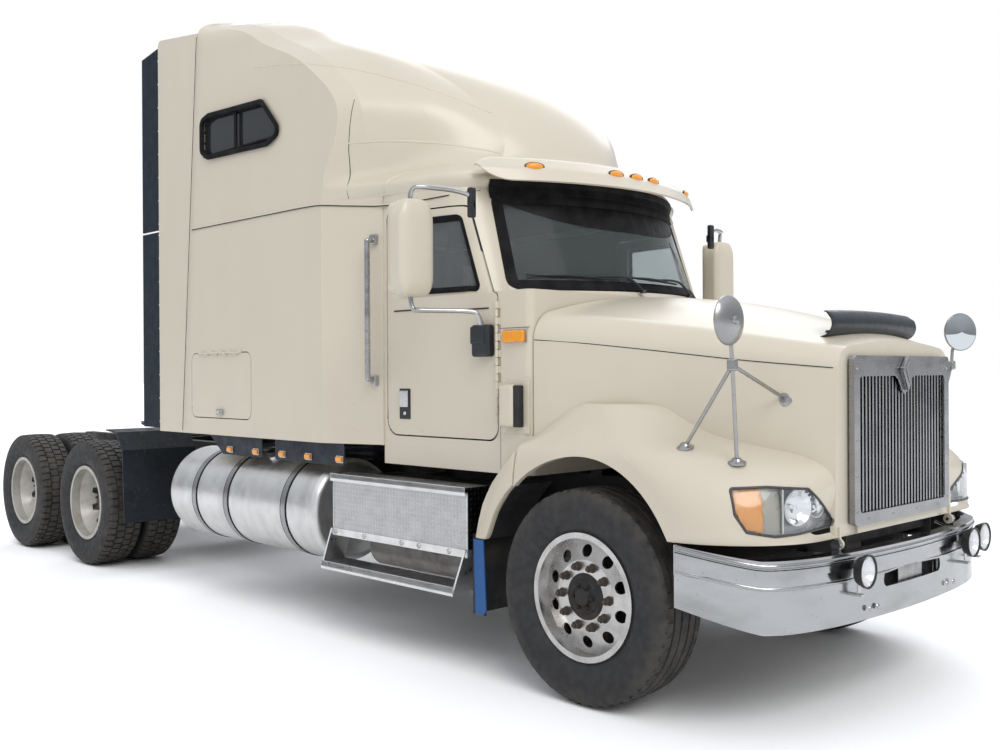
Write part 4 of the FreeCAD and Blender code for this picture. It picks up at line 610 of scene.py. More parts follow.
def tube(name, points, radius, bend=True, sides=3):
    """Round bar or pipe along a line of points."""
    curve = bpy.data.curves.new(name, "CURVE")
    curve.dimensions = "3D"
    curve.bevel_depth = radius
    curve.bevel_resolution = sides
    curve.use_fill_caps = True
    spline = curve.splines.new("NURBS" if bend else "POLY")
    spline.points.add(len(points) - 1)
    for p, co in zip(spline.points, points):
        p.co = (*co, 1)
    if bend:
        spline.use_endpoint_u = True
        spline.order_u = 3
    obj = in_scene(name, curve)
    activate(obj)
    bpy.ops.object.convert(target="MESH")
    return smooth(obj, 50)


def dome(name, radius, high, sides=8):
    """Low rivet or bolt head standing on the origin along +Z."""
    head = primitive(bpy.ops.mesh.primitive_cone_add, name, vertices=sides, radius1=radius, radius2=radius * 0.8,
                     depth=high * 0.6)
    edit(head, lambda: bpy.ops.mesh.extrude_region_move(TRANSFORM_OT_translate={"value": (0, 0, high * 0.4)}),
         lambda: bpy.ops.transform.resize(value=(0.45, 0.45, 1), center_override=(0, 0, 0)),
         pick=lambda face: face.normal.z > 0.9)
    return smooth(moved(head, Matrix.Translation((0, 0, high * 0.3))), 60)


def studded(name, head, places, normal):
    """Copies of a rivet or bolt head at many places, all facing one way."""
    turn = aim(normal, "Z", "Y")
    return joined(name, [moved(twin(head, name), Matrix.Translation(place), turn) for place in places])


def line_of(first, last, count):
    """Evenly spaced places between two, both included."""
    first, last = Vector(first), Vector(last)
    return [first.lerp(last, i / (count - 1)) for i in range(count)]


def bright_steel(name, colour, low, high):
    """Polished plate with dull scuffs, scratches and small chips."""
    mat = surface(name, colour, low, 1.0)
    stain(mat, (0.24, 0.24, 0.245), 0.5, 2.6, 0.45, 0.7, (1, 1, 2.2))
    stain(mat, (0.08, 0.07, 0.06), 0.6, 70.0, 0.68, 0.74)
    dull(mat, low, high, 5.0, 0.35, 0.7, (1, 1, 3))
    grain(mat, 0.0004, 0.12, 40.0, 0.35, 0.7, (1, 1, 6))
    return mat


def feeler(*nodes):
    """Finds where a straight line first meets CAD nodes, or with no direction their nearest place."""
    verts, faces = [], []
    for node in nodes:
        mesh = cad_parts[node].data
        faces += [[i + len(verts) for i in p.vertices] for p in mesh.polygons]
        verts += [v.co.copy() for v in mesh.vertices]
    tree = BVHTree.FromPolygons(verts, faces)

    def touch(start, way=None):
        if way is None:
            return tree.find_nearest(Vector(start))[:2]
        return tree.ray_cast(Vector(start), Vector(way).normalized())[:2]
    return touch


def along_bumper(height, out):
    """Places round the bumper's face, so far outside it, height metres above its upper edge."""
    places = []
    for i in range(BAND_PLACES):
        turn = math.radians(BAND_REACH * (2 * i / (BAND_PLACES - 1) - 1))
        way = Vector((math.cos(turn), math.sin(turn) * 1.25, 0)).normalized()
        start = at(0.30, 0, 0) + way * 3
        face, _ = on_bumper(start + Vector((0, 0, BAND_TOP - 0.050)), -way)
        if face is not None:
            top = BAND_TOP + BAND_CLIMB * max(0.0, BAND_TURN - face.x)
            face, _ = on_bumper(start + Vector((0, 0, top + height)), -way)
        if face is not None:
            places.append(face + way * out)
    return places


bumper_steel = bright_steel("bumper_steel", (0.44, 0.445, 0.45), 0.10, 0.30)
# near-black for painted shade: the line under the bumper's rolled lip and the inside behind the towing slot
painted_shade_black = surface("painted_shade_black", (0.014, 0.014, 0.014), 0.5)
dull(painted_shade_black, 0.4, 0.7, 30.0, 0.3, 0.7)
plate_steel = metal("plate_steel", (0.42, 0.42, 0.42), 0.3, 0.5, (0.15, 0.12, 0.10), 0.6)
dress("polished_metal", bumper_steel, "front_bumper")
on_bumper = feeler("front_bumper")
bolt = dome("bolt", 0.014, 0.008, 10)
bumper_bolts = studded("bumper_bolts", bolt, [at(1.052, y, 0.500) for y in (-0.43, -0.36, 0.43, 0.36)], (1, 0, 0))
beads = joined("bumper_beads", [tube("bead", along_bumper(-0.012, -0.003), 0.011, bend=False),
                                tube("bead", along_bumper(-0.108, -0.006), 0.010, bend=False)])
# a black line under the rolled lip: painted shade
groove = tube("bumper_lip_shade", along_bumper(-0.0285, -0.0015), 0.003, bend=False)
# black plate behind the towing slot: painted shade of what lies behind the bumper
shade_plate = block("slot_backing", at(0.985, -0.330, 0.500), at(0.992, 0.330, 0.700), 0.001)
bare_plate = block("bare_plate", at(1.030, -0.120, 0.540), at(1.034, 0.120, 0.668), 0.0015)
for piece, slot, mat in ((bumper_bolts, "polished_metal", bumper_steel), (beads, "polished_metal", bumper_steel),
                         (groove, "black_paint", painted_shade_black), (shade_plate, "black_paint", painted_shade_black),
                         (bare_plate, "steel", plate_steel)):
    settle(piece, "chassis", slot, mat)

# ---- driving lamps, markers and tail lamps ------------------------------------------------
# Three round lamps stand on tabs in front of the bumper: black shell, bright bowl and
# clear glass. Amber markers sit on the cowl, brow and skirts, red lamps on the rails.
FOG_R = 0.074
FOG_Z = 0.685
FOG_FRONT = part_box("lamps")[1].x
SKIRT_TOP, SKIRT_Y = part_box("sleeper_skirts")[1].z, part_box("sleeper_skirts")[1].y
RAIL_REAR, RAIL_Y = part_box("frame_rails")[0].x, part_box("frame_rails")[1].y
# across the truck, and how far the glass stands back from the foremost one
FOGS = ((-0.550, 0.0), (0.550, 0.0), (0.775, 0.037))
SHELL = ((-0.062, 0.001), (-0.060, 0.030), (-0.046, 0.058), (-0.016, 0.072), (-0.002, FOG_R), (-0.002, 0.068),
         (-0.016, 0.066), (-0.042, 0.052), (-0.056, 0.026), (-0.058, 0.001))
BOWL = ((-0.054, 0.001), (-0.052, 0.024), (-0.038, 0.050), (-0.012, 0.0655), (-0.010, 0.064), (-0.034, 0.048),
        (-0.048, 0.022), (-0.050, 0.001))
GLASS = ((-0.009, 0.001), (-0.010, 0.066), (-0.007, 0.066), (-0.003, 0.045), (0.0, 0.001))
BULB = ((-0.050, 0.001), (-0.050, 0.008), (-0.030, 0.008), (-0.027, 0.001))
# each skirt panel's corners, from the front axle, and the arms that hold it to the rail
PANELS = ((((-3.440, SKIRT_TOP), (-3.250, 1.000), (-2.760, 1.000), (-2.760, SKIRT_TOP)), (-3.160, -2.860)),
          (((-2.606, SKIRT_TOP), (-2.606, 0.996), (-1.865, 0.996), (-1.865, SKIRT_TOP)), (-2.500, -2.030)))
FORWARD = Matrix.Rotation(-math.pi / 2, 4, "Z")


def glassy(name, colour, rough=0.03, see=0.9):
    """Clear or coloured cover."""
    mat = tune(surface(name, colour, rough), Transmission_Weight=see, IOR=1.3)
    dull(mat, rough, rough + 0.10, 30.0, 0.4, 0.8)
    return mat


def plastic(name, colour, rough):
    """Moulded plastic with a fine grain."""
    mat = surface(name, colour, rough)
    stain(mat, tuple(c * 0.5 + 0.05 for c in colour), 0.3, 10.0, 0.4, 0.8)
    dull(mat, rough, rough + 0.15, 30.0, 0.3, 0.7)
    grain(mat, 0.0004, 0.15, 300.0, 0.3, 0.7)
    return mat


black_plastic = plastic("black_plastic", (0.014, 0.014, 0.015), 0.35)
bowl_chrome = surface("lamp_bowl", (0.86, 0.86, 0.87), 0.12, 1.0)
grain(bowl_chrome, 0.001, 0.25, 60.0, 0.3, 0.7)
clear_glass = glassy("clear_glass", (0.96, 0.97, 0.98))
amber = tune(surface("amber_lens", (0.86, 0.31, 0.012), 0.22), Coat_Weight=0.5)
stain(amber, (0.98, 0.44, 0.04), 0.4, 60.0, 0.4, 0.7)
grain(amber, 0.0006, 0.3, 160.0, 0.3, 0.7, (1, 1, 0.1))
red = surface("red_lens", (0.42, 0.012, 0.010), 0.2)
grain(red, 0.0006, 0.3, 160.0, 0.3, 0.7)
bezel_steel = metal("bezel_steel", (0.55, 0.55, 0.55), 0.2, 0.4, (0.2, 0.17, 0.14), 0.3)
for name, outline, mat, finish in (("fog_shells", SHELL, black_plastic, "smoked_plastic"),
                                   ("fog_bowls", BOWL, bowl_chrome, "polished_metal"),
                                   ("fog_glasses", GLASS, clear_glass, "lens"),
                                   ("fog_bulbs", BULB, bowl_chrome, "polished_metal")):
    part = smooth(moved(turned(name, outline, 40), FORWARD), 30)
    pieces = [twin(part, name, move=(FOG_FRONT - back, y, FOG_Z)) for y, back in FOGS]
    drop(part)
    fogs = settle(joined(name, pieces), "chassis", finish, mat)
    if name == "fog_shells":
        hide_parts("lamps")
tabs = []
for y, back in FOGS:
    for x0, x1, z0, z1 in ((-0.062, 0.0, -0.110, -0.100), (-0.022, -0.016, -0.104, -0.058)):
        front = FOG_FRONT - back - 0.030
        low, high = (front + x0, y - 0.014, FOG_Z + z0), (front + x1, y + 0.014, FOG_Z + z1)
        tabs.append(block("fog_tab", low, high, 0.001))
settle(joined("fog_tabs", tabs), "chassis", "steel", bezel_steel)

lenses, bezels, panels = [], [], []
for s in (1, -1):
    bezels.append(side_block("bezel", s, (-0.600, -0.436), (1.050, 1.056), (1.690, 1.760), 0.002, 3))
    lenses.append(side_block("lens", s, (-0.594, -0.442), (1.054, 1.074), (1.695, 1.755), 0.008, 3))
    for corners, arms in PANELS:
        panels.append(slab("panel", rounded(corners, (0, 0.020, 0.020, 0), 4),
                           lambda a, b, d: at(a, s * (SKIRT_Y - 0.008 + d), b), 0.008, 0.001))
        for x in arms:
            panels.append(side_block("arm", s, (x, x + 0.050), (RAIL_Y, SKIRT_Y - 0.008), (1.062, 1.090), 0.003))
for x in (-3.150, -2.827, -2.515, -2.227, -1.902):
    for s in (1, -1):
        bezels.append(side_block("bezel", s, (x - 0.034, x + 0.034), (SKIRT_Y, SKIRT_Y + 0.006), (1.014, 1.058),
                                 0.002, 3))
        lenses.append(side_block("lens", s, (x - 0.028, x + 0.028), (SKIRT_Y + 0.004, SKIRT_Y + 0.020),
                                 (1.020, 1.052), 0.006, 3))
skirt_panels = settle(joined("sleeper_skirt_panels", panels), "chassis", "black_paint", navy_skirt)
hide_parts("sleeper_skirts")
settle(joined("side_marker_lenses", lenses), "chassis", "lamp_plastic", amber)
settle(joined("side_marker_bezels", bezels), "chassis", "polished_metal", bezel_steel)
tail = [block("tail", (RAIL_REAR - 0.024, y - 0.060, 0.830), (RAIL_REAR - 0.002, y + 0.060, 0.930), 0.008, 3)
        for y in (0.430, -0.430)]
settle(joined("tail_lamps", tail), "chassis", "lamp_plastic", red)

# ---- grille -------------------------------------------------------------------------------
# A bright pressed frame with 27 upright bars, deeper at the top, where a plain pointed
# boss is fixed over the bars. The frame is bolted to the hood's nose along its edge.
GRILLE_LO, GRILLE_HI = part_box("grille")
EDGE_HALF, EDGE_LOW, EDGE_HIGH = GRILLE_HI.y - 0.026, GRILLE_LO.z + 0.06, GRILLE_HI.z - 0.06
# how far it stands off the bars, its thickness and bevel, its outline across and up
BOSS = ((-0.006, 0.008, 0.002, ((-0.120, 1.531), (0.120, 1.531), (0.060, 1.500), (0.030, 1.450), (0.0, 1.432),
                                (-0.030, 1.450), (-0.060, 1.500))),
        (0.0, 0.024, 0.005, ((0.0, 1.610), (0.052, 1.556), (0.052, 1.540), (0.0, 1.450), (-0.052, 1.540),
                             (-0.052, 1.556))),
        (0.022, 0.006, 0.002, ((0.0, 1.590), (0.033, 1.548), (0.0, 1.484), (-0.033, 1.548))))
grille_chrome = bright_steel("grille_chrome", (0.34, 0.34, 0.345), 0.16, 0.38)
dress("polished_metal", grille_chrome, "grille")
layers = [slab("boss", outline, lambda a, b, d: Vector((GRILLE_HI.x + off + d, a, b)), thick, bevel)
          for off, thick, bevel, outline in BOSS]
boss = joined("grille_boss", layers)
settle(boss, "hood", "polished_metal", grille_chrome)
screw = dome("screw", 0.007, 0.004)
edge_screws = []
for y0, y1, z0, z1, count in ((-EDGE_HALF, -EDGE_HALF, EDGE_LOW, EDGE_HIGH, 5),
                              (EDGE_HALF, EDGE_HALF, EDGE_LOW, EDGE_HIGH, 5),
                              (-EDGE_HALF + 0.10, EDGE_HALF - 0.10, GRILLE_LO.z + 0.026, GRILLE_LO.z + 0.026, 4)):
    edge_screws += line_of((GRILLE_HI.x, y0, z0), (GRILLE_HI.x, y1, z1), count)
settle(studded("grille_screws", screw, edge_screws, (1, 0, 0)), "hood", "polished_metal", grille_chrome)

# ---- hood: joints, latches and deflector --------------------------------------------------
# The moulded hood has a thin joint line along each side under its crown. A dark smoked
# shield stands on three feet at its front edge, and rubber straps latch it to the cowl.
# distance from the front axle and height of the joint line
HOOD_SEAM = ((-0.400, 1.705), (-0.20, 1.690), (0.0, 1.668), (0.20, 1.644), (0.40, 1.618), (0.60, 1.592),
             (0.80, 1.572), (0.955, 1.557))
SHIELD_HALF = 0.420
# distance from the front axle and height: foot, belly and crest of the curl
SHIELD_CURL = arc((0.812, 1.697), (0.874, 1.752), (0.800, 1.818), 61)


def sheet(name, across, along, place):
    """Fine grid whose points (u, v), from -1 to 1, go where place says."""
    grid = primitive(bpy.ops.mesh.primitive_grid_add, name, x_subdivisions=across, y_subdivisions=along, size=2)
    for v in grid.data.vertices:
        v.co = place(v.co.x, v.co.y)
    return grid


def walled(obj, thick, offset=-1.0, inner=0):
    """Gives a sheet its thickness, and its inner face a material of its own."""
    activate(obj)
    wall = obj.modifiers.new("wall", "SOLIDIFY")
    wall.thickness = thick
    wall.offset = offset
    wall.material_offset = inner
    bpy.ops.object.modifier_apply(modifier="wall")
    return obj


def shield_place(across, v):
    """Place on the shield, which bellies forward and curls back at its crest, its ends rounded off."""
    end = max(0.0, abs(across) - 0.86) / 0.14
    x, z = SHIELD_CURL[round(60 * (v + 1) / 2 * (1 - 0.35 * end * end))]
    crown = 0.012 * (1 - across * across)
    return at(x + crown, across * SHIELD_HALF, z + crown * 0.8)


on_hood = feeler("hood_shell")
on_flank = feeler("hood_shell", "fender_extensions", "cab_shell")
# near-black for joint lines, and painted shade in the cowl intake's mouth
joint_and_shade_black = plastic("joint_and_shade_black", (0.010, 0.010, 0.010), 0.6)
smoke = plastic("smoked_shield", (0.012, 0.018, 0.025), 0.28)
latch_rubber = plastic("latch_rubber", (0.016, 0.017, 0.019), 0.55)
seam = [on_hood(at(x, -3.0, z), (0, 1, 0))[0] + Vector((0, -0.0008, 0)) for x, z in HOOD_SEAM]
seam_right = tube("hood_seam_right", seam, 0.0022)
settle(twin(seam_right, "hood_seam_left", True), "hood", "black_paint", joint_and_shade_black)
settle(seam_right, "hood", "black_paint", joint_and_shade_black)
shield = smooth(walled(sheet("bug_shield", 36, 12, shield_place), 0.006), 40)
settle(shield, "hood", "smoked_plastic", smoke)
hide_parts("bug_deflector")
feet = []
for y in (-0.30, 0.0, 0.30):
    place, _ = on_hood(at(0.812, y, 3.0), (0, 0, -1))
    feet.append(block("foot", place + Vector((-0.030, -0.022, -0.004)), place + Vector((0.014, 0.022, 0.014)), 0.004))
settle(joined("deflector_feet", feet), "hood", "smoked_plastic", black_plastic)
for s, label in SIDES:
    place, _ = on_flank(at(-0.425, s * 3.0, 1.190), (0, -s, 0))
    reach = Vector((0.030, 0.012, 0.016))
    settle(block("hood_latch_" + label, place - reach, place + reach, 0.006, 3), "hood", "rubber", latch_rubber)

# ---- hood mirrors ---------------------------------------------------------------------------
# Round mirrors on tripods of thin steel tube with cup feet bolted to the fenders. The
# right one turns its steel bowl forward, the left one its glass.
MIRROR_R = 0.104
MIRROR_AT = (0.785, 1.109, 1.754)
MIRROR_JOINT = (0.775, 1.070, 1.570)
MIRROR_TURN = math.radians(28.0)
# ends of the tubes
LEGS = (((0.722, 0.960, 1.155), MIRROR_JOINT), (MIRROR_JOINT, (0.777, 1.082, 1.655), (0.788, 1.098, 1.720)),
        ((0.481, 1.000, 1.211), MIRROR_JOINT), ((0.757, 0.640, 1.424), MIRROR_JOINT))
# each cup foot's place and the way it faces
CUPS = (((0.722, 0.960, 1.155), (0.1, 0.15, 1)), ((0.481, 1.000, 1.211), (0.0, 0.25, 1)),
        ((0.757, 0.636, 1.424), (0.25, 1, 0.25)))
CUP = ((-0.004, 0.001), (-0.004, 0.040), (0.003, 0.040), (0.006, 0.034), (0.010, 0.024), (0.020, 0.018),
       (0.020, 0.001))
MIRROR_BOWL = ((0.018, 0.001), (0.017, 0.030), (0.010, 0.068), (-0.004, 0.098), (-0.012, MIRROR_R),
               (-0.018, MIRROR_R), (-0.018, 0.099), (-0.014, 0.096), (-0.010, 0.070), (-0.004, 0.030),
               (-0.003, 0.001))
BUTTON = ((0.014, 0.001), (0.014, 0.020), (0.028, 0.016), (0.030, 0.001))
PANE = ((-0.017, 0.001), (-0.017, 0.099), (-0.020, 0.099), (-0.026, 0.060), (-0.029, 0.001))
mirror_steel = bright_steel("mirror_steel", (0.40, 0.40, 0.40), 0.20, 0.42)
mirror_glass = surface("mirror_glass", (0.62, 0.66, 0.68), 0.02, 1.0)
dull(mirror_glass, 0.02, 0.06, 20.0, 0.4, 0.8)
tripod = [tube("leg", [at(*p) for p in points], 0.0085, bend=False) for points in LEGS]
tripod += [smooth(moved(turned("cup", CUP, 24), Matrix.Translation(at(*place)), aim(way)), 30)
           for place, way in CUPS]
tripod.append(block("clamp", at(0.757, 1.050, 1.545), at(0.793, 1.090, 1.595), 0.008, 3))
tripod_left = joined("hood_mirror_frame_left", tripod)
tripod_right = twin(tripod_left, "hood_mirror_frame_right", True)
bowl, button, pane = (smooth(moved(turned(name, outline, steps), FORWARD), 30) for name, outline, steps in (
    ("bowl", MIRROR_BOWL, 48), ("button", BUTTON, 20), ("pane", PANE, 48)))
bowl = joined("bowl", [bowl, button])
for s, label, stand in ((1, "left", tripod_left), (-1, "right", tripod_right)):
    face = Matrix.Rotation(math.pi - MIRROR_TURN if s > 0 else 0.0, 4, "Z")
    spot = Matrix.Translation(at(MIRROR_AT[0] + 0.013, s * MIRROR_AT[1], MIRROR_AT[2]))
    head = joined("hood_mirror_" + label, [stand, moved(twin(bowl, "shell"), spot, face)])
    settle(head, "hood", "steel", mirror_steel)
    settle(moved(twin(pane, "hood_mirror_glass_" + label), spot, face), "hood", "glass", mirror_glass)
    if s > 0:
        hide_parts("hood_mirrors")
drop(bowl, pane)

# ---- headlamps ---------------------------------------------------------------------------------
# Each is a dark tub let into the fender's corner, with a bright round reflector inside
# and an amber turn lamp behind a divider, under one clear cover with a black edge.
LAMP_TURN = math.radians(38)
LAMP_WAY = Vector((math.cos(LAMP_TURN), math.sin(LAMP_TURN), 0))
LAMP_SIDE = Vector((-math.sin(LAMP_TURN), math.cos(LAMP_TURN), 0))
DIVIDER = 0.160
AMBER_FROM = 0.245
REFLECTOR = ((0.0, 0.070), (-0.022, 0.058), (-0.034, 0.036), (-0.040, 0.001), (-0.044, 0.001), (-0.038, 0.040),
             (-0.026, 0.062), (-0.004, 0.075), (0.002, 0.075))
CAPSULE = ((-0.040, 0.001), (-0.040, 0.010), (-0.012, 0.009), (-0.008, 0.001))


def outer(face):
    """Whether a face lies on the lamp's outside."""
    return face.normal.dot(LAMP_WAY) > 0.3


def lamp_copy(name, move, keep=outer):
    """Part of the left headlamp's skin, moved along the lamp's way."""
    new = edit(twin(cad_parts["headlamps"], name), lambda: bpy.ops.mesh.remove_doubles(threshold=1e-5))
    edit(new, lambda: bpy.ops.mesh.delete(type="FACE"), pick=lambda f: f.center.y < 0 or not keep(f))
    return moved(new, Matrix.Translation(LAMP_WAY * move))


def cut_off(obj, across, way):
    """Removes what lies beyond a plane across the lamp and closes nothing."""
    place = at(0, 0, 0) + LAMP_SIDE * across
    return edit(obj, lambda: bpy.ops.mesh.bisect(plane_co=place, plane_no=way, clear_outer=True))


def rim_tube(obj, radius):
    """Turns the open edge of a sheet into a round beading."""
    edit(obj, bpy.ops.mesh.region_to_loop, lambda: bpy.ops.mesh.select_all(action="INVERT"),
         lambda: bpy.ops.mesh.delete(type="EDGE"))
    bpy.ops.object.convert(target="CURVE")
    obj.data.bevel_depth = radius
    obj.data.bevel_resolution = 2
    bpy.ops.object.convert(target="MESH")
    return smooth(obj, 60)


def in_lamp(across, height, deep):
    """Place inside the lamp, so deep under its cover."""
    place, _ = on_lamp(at(0, 0, height) + LAMP_WAY * 2.2 + LAMP_SIDE * across, -LAMP_WAY)
    return place - LAMP_WAY * deep


tub_dark = plastic("lamp_tub", (0.05, 0.05, 0.052), 0.25)
tub_grey = surface("lamp_tub_inside", (0.30, 0.31, 0.32), 0.22, 0.8)
dull(tub_grey, 0.15, 0.35, 20.0, 0.4, 0.8)
cover_glass = glassy("headlamp_cover", (0.93, 0.95, 0.96), 0.03, 0.95)
on_lamp = feeler("headlamps")
cover = walled(lamp_copy("cover", -0.001), 0.003)
tub = walled(lamp_copy("tub", -0.004, lambda f: not outer(f)), 0.002)
amber_skin = walled(cut_off(lamp_copy("turn", -0.020), AMBER_FROM, -LAMP_SIDE), 0.003)
pale_skin = cut_off(cut_off(lamp_copy("pale", -0.022), DIVIDER + 0.006, -LAMP_SIDE), AMBER_FROM, LAMP_SIDE)
pale_skin = walled(pale_skin, 0.003)
lamp_edge = rim_tube(lamp_copy("edge", -0.0005), 0.006)
reflector = turned("reflector", REFLECTOR)
small_bowl = moved(twin(reflector, "small_bowl"), SMALL)
reflector = smooth(joined("reflector", [reflector, turned("capsule", CAPSULE, 20)]), 40)
facing = aim((1, 0.30, 0))
bowls = joined("bowls", [moved(reflector, Matrix.Translation(in_lamp(0.070, 0.965, 0.040)), facing),
                         moved(small_bowl, Matrix.Translation(in_lamp(-0.040, 0.955, 0.035)), facing)])
middle = in_lamp(DIVIDER, 0.960, 0.0)
divider = moved(block("divider", (-0.004, -0.050, 0.868), (0.004, -0.003, 1.050), 0.001),
                Matrix.Translation((middle.x, middle.y, 0)), Matrix.Rotation(LAMP_TURN - math.pi / 2, 4, "Z"))
pale_lens = plastic("pale_lens", (0.42, 0.40, 0.33), 0.25)
for piece, name, finish, mat in ((tub, "headlamp_tub", "smoked_plastic", tub_grey),
                                 (amber_skin, "headlamp_turn", "lamp_plastic", amber),
                                 (pale_skin, "headlamp_turn_pale", "lens", pale_lens),
                                 (lamp_edge, "headlamp_edge", "smoked_plastic", tub_dark),
                                 (bowls, "headlamp_bowls", "polished_metal", bowl_chrome),
                                 (divider, "headlamp_divider", "polished_metal", bezel_steel)):
    pair(piece, name, "hood", finish, mat)
pair(cover, "headlamp_cover", "hood", "lens", cover_glass)
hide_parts("headlamps")

# ---- windscreen, wipers and windows ------------------------------------------------------------
# Tinted safety glass set in wide black rubber. A near-black film along the windscreen's top is
# painted shadow of the visor, and a black strip above it painted shade under the visor. Two
# wipers lie along its foot. The sleeper's windows slide and have an upright divider.
SCREEN = ((-0.836, 1.988), (0.836, 1.988), (0.800, 2.520), (-0.800, 2.520))
SCREEN_MID_Z = 2.25
VISOR_SHADOW_HALF, VISOR_SHADOW_TOP = 0.775, 2.500
# painted shade under the visor: the black strip's half width, top and height
SHADE_STRIP_HALF, SHADE_STRIP_TOP, SHADE_STRIP_HIGH = 0.815, 2.600, 0.106
SLEEPER_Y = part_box("sleeper_shell")[1].y
# distance from the front axle and height of the windows' corners
SIDE_GLASS = ((-3.390, 3.060), (-3.300, 3.008), (-2.560, 2.985), (-2.440, 3.030), (-2.450, 3.090), (-2.620, 3.268),
              (-3.290, 3.294), (-3.390, 3.270))
DOOR_GLASS = ((-1.450, 1.992), (-1.200, 1.985), (-0.880, 1.985), (-0.880, 2.010), (-1.020, 2.395), (-1.450, 2.395))
# sections of the seals: distance inwards from the opening's edge, height over the glass
SCREEN_SEAL = ((-0.006, 0.000), (-0.006, 0.015), (0.006, 0.021), (0.030, 0.014), (0.052, 0.005), (0.052, 0.001))
SIDE_SEAL = ((-0.014, 0.0), (-0.014, 0.006), (0.0, 0.012), (0.016, 0.008), (0.022, -0.012), (-0.002, -0.013))
DOOR_SEAL = ((-0.008, 0.022), (-0.006, 0.029), (0.004, 0.029), (0.016, 0.014), (0.026, 0.001), (0.010, 0.0))


def pane_glass(name, colour, see, bend, low, high):
    """Flat glass with a little dirt on it."""
    mat = tune(surface(name, colour, 0.03), Transmission_Weight=see, IOR=bend)
    dull(mat, low, high, 6.0, 0.4, 0.8)
    return mat


def inward(points, by):
    """Closed outline moved inwards, point by point."""
    n = len(points)
    area = sum(points[i - 1][0] * points[i][1] - points[i][0] * points[i - 1][1] for i in range(n))
    turn = 1 if area > 0 else -1
    out = []
    for i in range(n):
        along = (Vector(points[(i + 1) % n]) - Vector(points[i - 1])).normalized()
        out.append((points[i][0] - along.y * by * turn, points[i][1] + along.x * by * turn))
    return out


def dense(points, step):
    """Closed outline with no run longer than a step."""
    out = []
    for i, p in enumerate(points):
        q = points[(i + 1) % len(points)]
        count = max(1, math.ceil(math.hypot(q[0] - p[0], q[1] - p[1]) / step))
        out += [(p[0] + (q[0] - p[0]) * k / count, p[1] + (q[1] - p[1]) * k / count) for k in range(count)]
    return out


def gasket(name, outline, section, on_face):
    """Rubber strip round an opening; on_face puts (place, height over the glass) in space."""
    strip = primitive(bpy.ops.mesh.primitive_torus_add, name, major_segments=len(outline),
                      minor_segments=len(section))
    rows = [[on_face(p, high) for p in inward(outline, inn)] for inn, high in section]
    for v in strip.data.vertices:
        v.co = rows[v.index % len(section)][v.index // len(section)]
    return smooth(edit(strip, outward), 40)


def screen_face(p, high):
    """Point on the windscreen's outside, so high over it."""
    touch = None
    for k in range(12):
        y, z = p[0] * (1 - 0.004 * k), SCREEN_MID_Z + (p[1] - SCREEN_MID_Z) * (1 - 0.006 * k)
        touch, _ = on_screen((AXLE_X + 1.0, y, z), (-1, 0, 0))
        if touch is not None:
            break
    return Vector((touch.x + high, p[0], p[1]))


def visor_shadow_place(u, v):
    """Place on the painted shadow of the visor, a dark band that reaches lower in the middle."""
    return screen_face((VISOR_SHADOW_HALF * u, VISOR_SHADOW_TOP - (1 - v) / 2 * (0.165 - 0.155 * abs(u) ** 3.2)), 0.0015)


def shade_strip_place(u, v):
    """Place on the black strip over the windscreen, painted shade under the visor."""
    start = (AXLE_X + 1.0, SHADE_STRIP_HALF * u, SHADE_STRIP_TOP - SHADE_STRIP_HIGH * (1 - v) / 2)
    return on_front(start, (-1, 0, 0))[0] + Vector((0.009, 0, 0))


def wiper(y_foot, y_elbow, y_mid, half):
    """Bent arm with its blade, from its spindle on the cowl."""
    foot = screen_face((y_foot, 2.005), 0.050)
    foot.z = 1.978
    elbow = screen_face((y_elbow, 2.074), 0.050)
    tip_a, tip_b = screen_face((y_mid - half, 2.064), 0.026), screen_face((y_mid + half, 2.046), 0.026)
    mid = (tip_a + tip_b) / 2 + Vector((0.004, 0, 0.004))
    first, last = mid - (tip_b - tip_a) / 2, mid + (tip_b - tip_a) / 2
    lift = Vector((0.012, 0, 0))
    knob = moved(dome("knob", 0.020, 0.020, 12), Matrix.Translation(foot))
    bow = foot.lerp(elbow, 0.5) + Vector((0.020, 0, 0.020))
    arm = tube("arm", [foot + Vector((0, 0, 0.012)), bow, elbow, mid], 0.0065)
    blade = tube("blade", [first, mid + Vector((0.006, 0, 0.004)), last], 0.006)
    top = mid + Vector((0.026, 0, 0.012))
    bridge = tube("bridge", [first.lerp(last, 0.2) + lift, top, first.lerp(last, 0.8) + lift], 0.005)
    return joined("wiper", [arm, knob, blade, bridge])


def door_face(s):
    """Face of a door pane, s = -1 on the right."""
    on_pane = feeler("door_glass_right" if s < 0 else "door_glass_left")

    def on_face(p, high):
        for k in range(14):
            x, z = p[0] + (AXLE_X - 1.22 - p[0]) * 0.012 * k, p[1] + (2.19 - p[1]) * 0.012 * k
            touch, _ = on_pane((x, s * 2.0, z), (0, -s, 0))
            if touch is not None:
                return Vector((p[0], touch.y + s * high, p[1]))
        return Vector((p[0], s * (1.028 + high), p[1]))
    return on_face


tinted = pane_glass("tinted_glass", (0.50, 0.55, 0.555), 0.92, 1.12, 0.02, 0.07)
dark_glass = pane_glass("dark_glass", (0.74, 0.78, 0.79), 0.9, 1.15, 0.03, 0.08)
privacy_glass = surface("privacy_glass", (0.022, 0.025, 0.028), 0.04)
dull(privacy_glass, 0.03, 0.08, 6.0, 0.4, 0.8)
seal_rubber = tune(plastic("seal_rubber", (0.005, 0.005, 0.006), 0.55), Specular_IOR_Level=0.12)
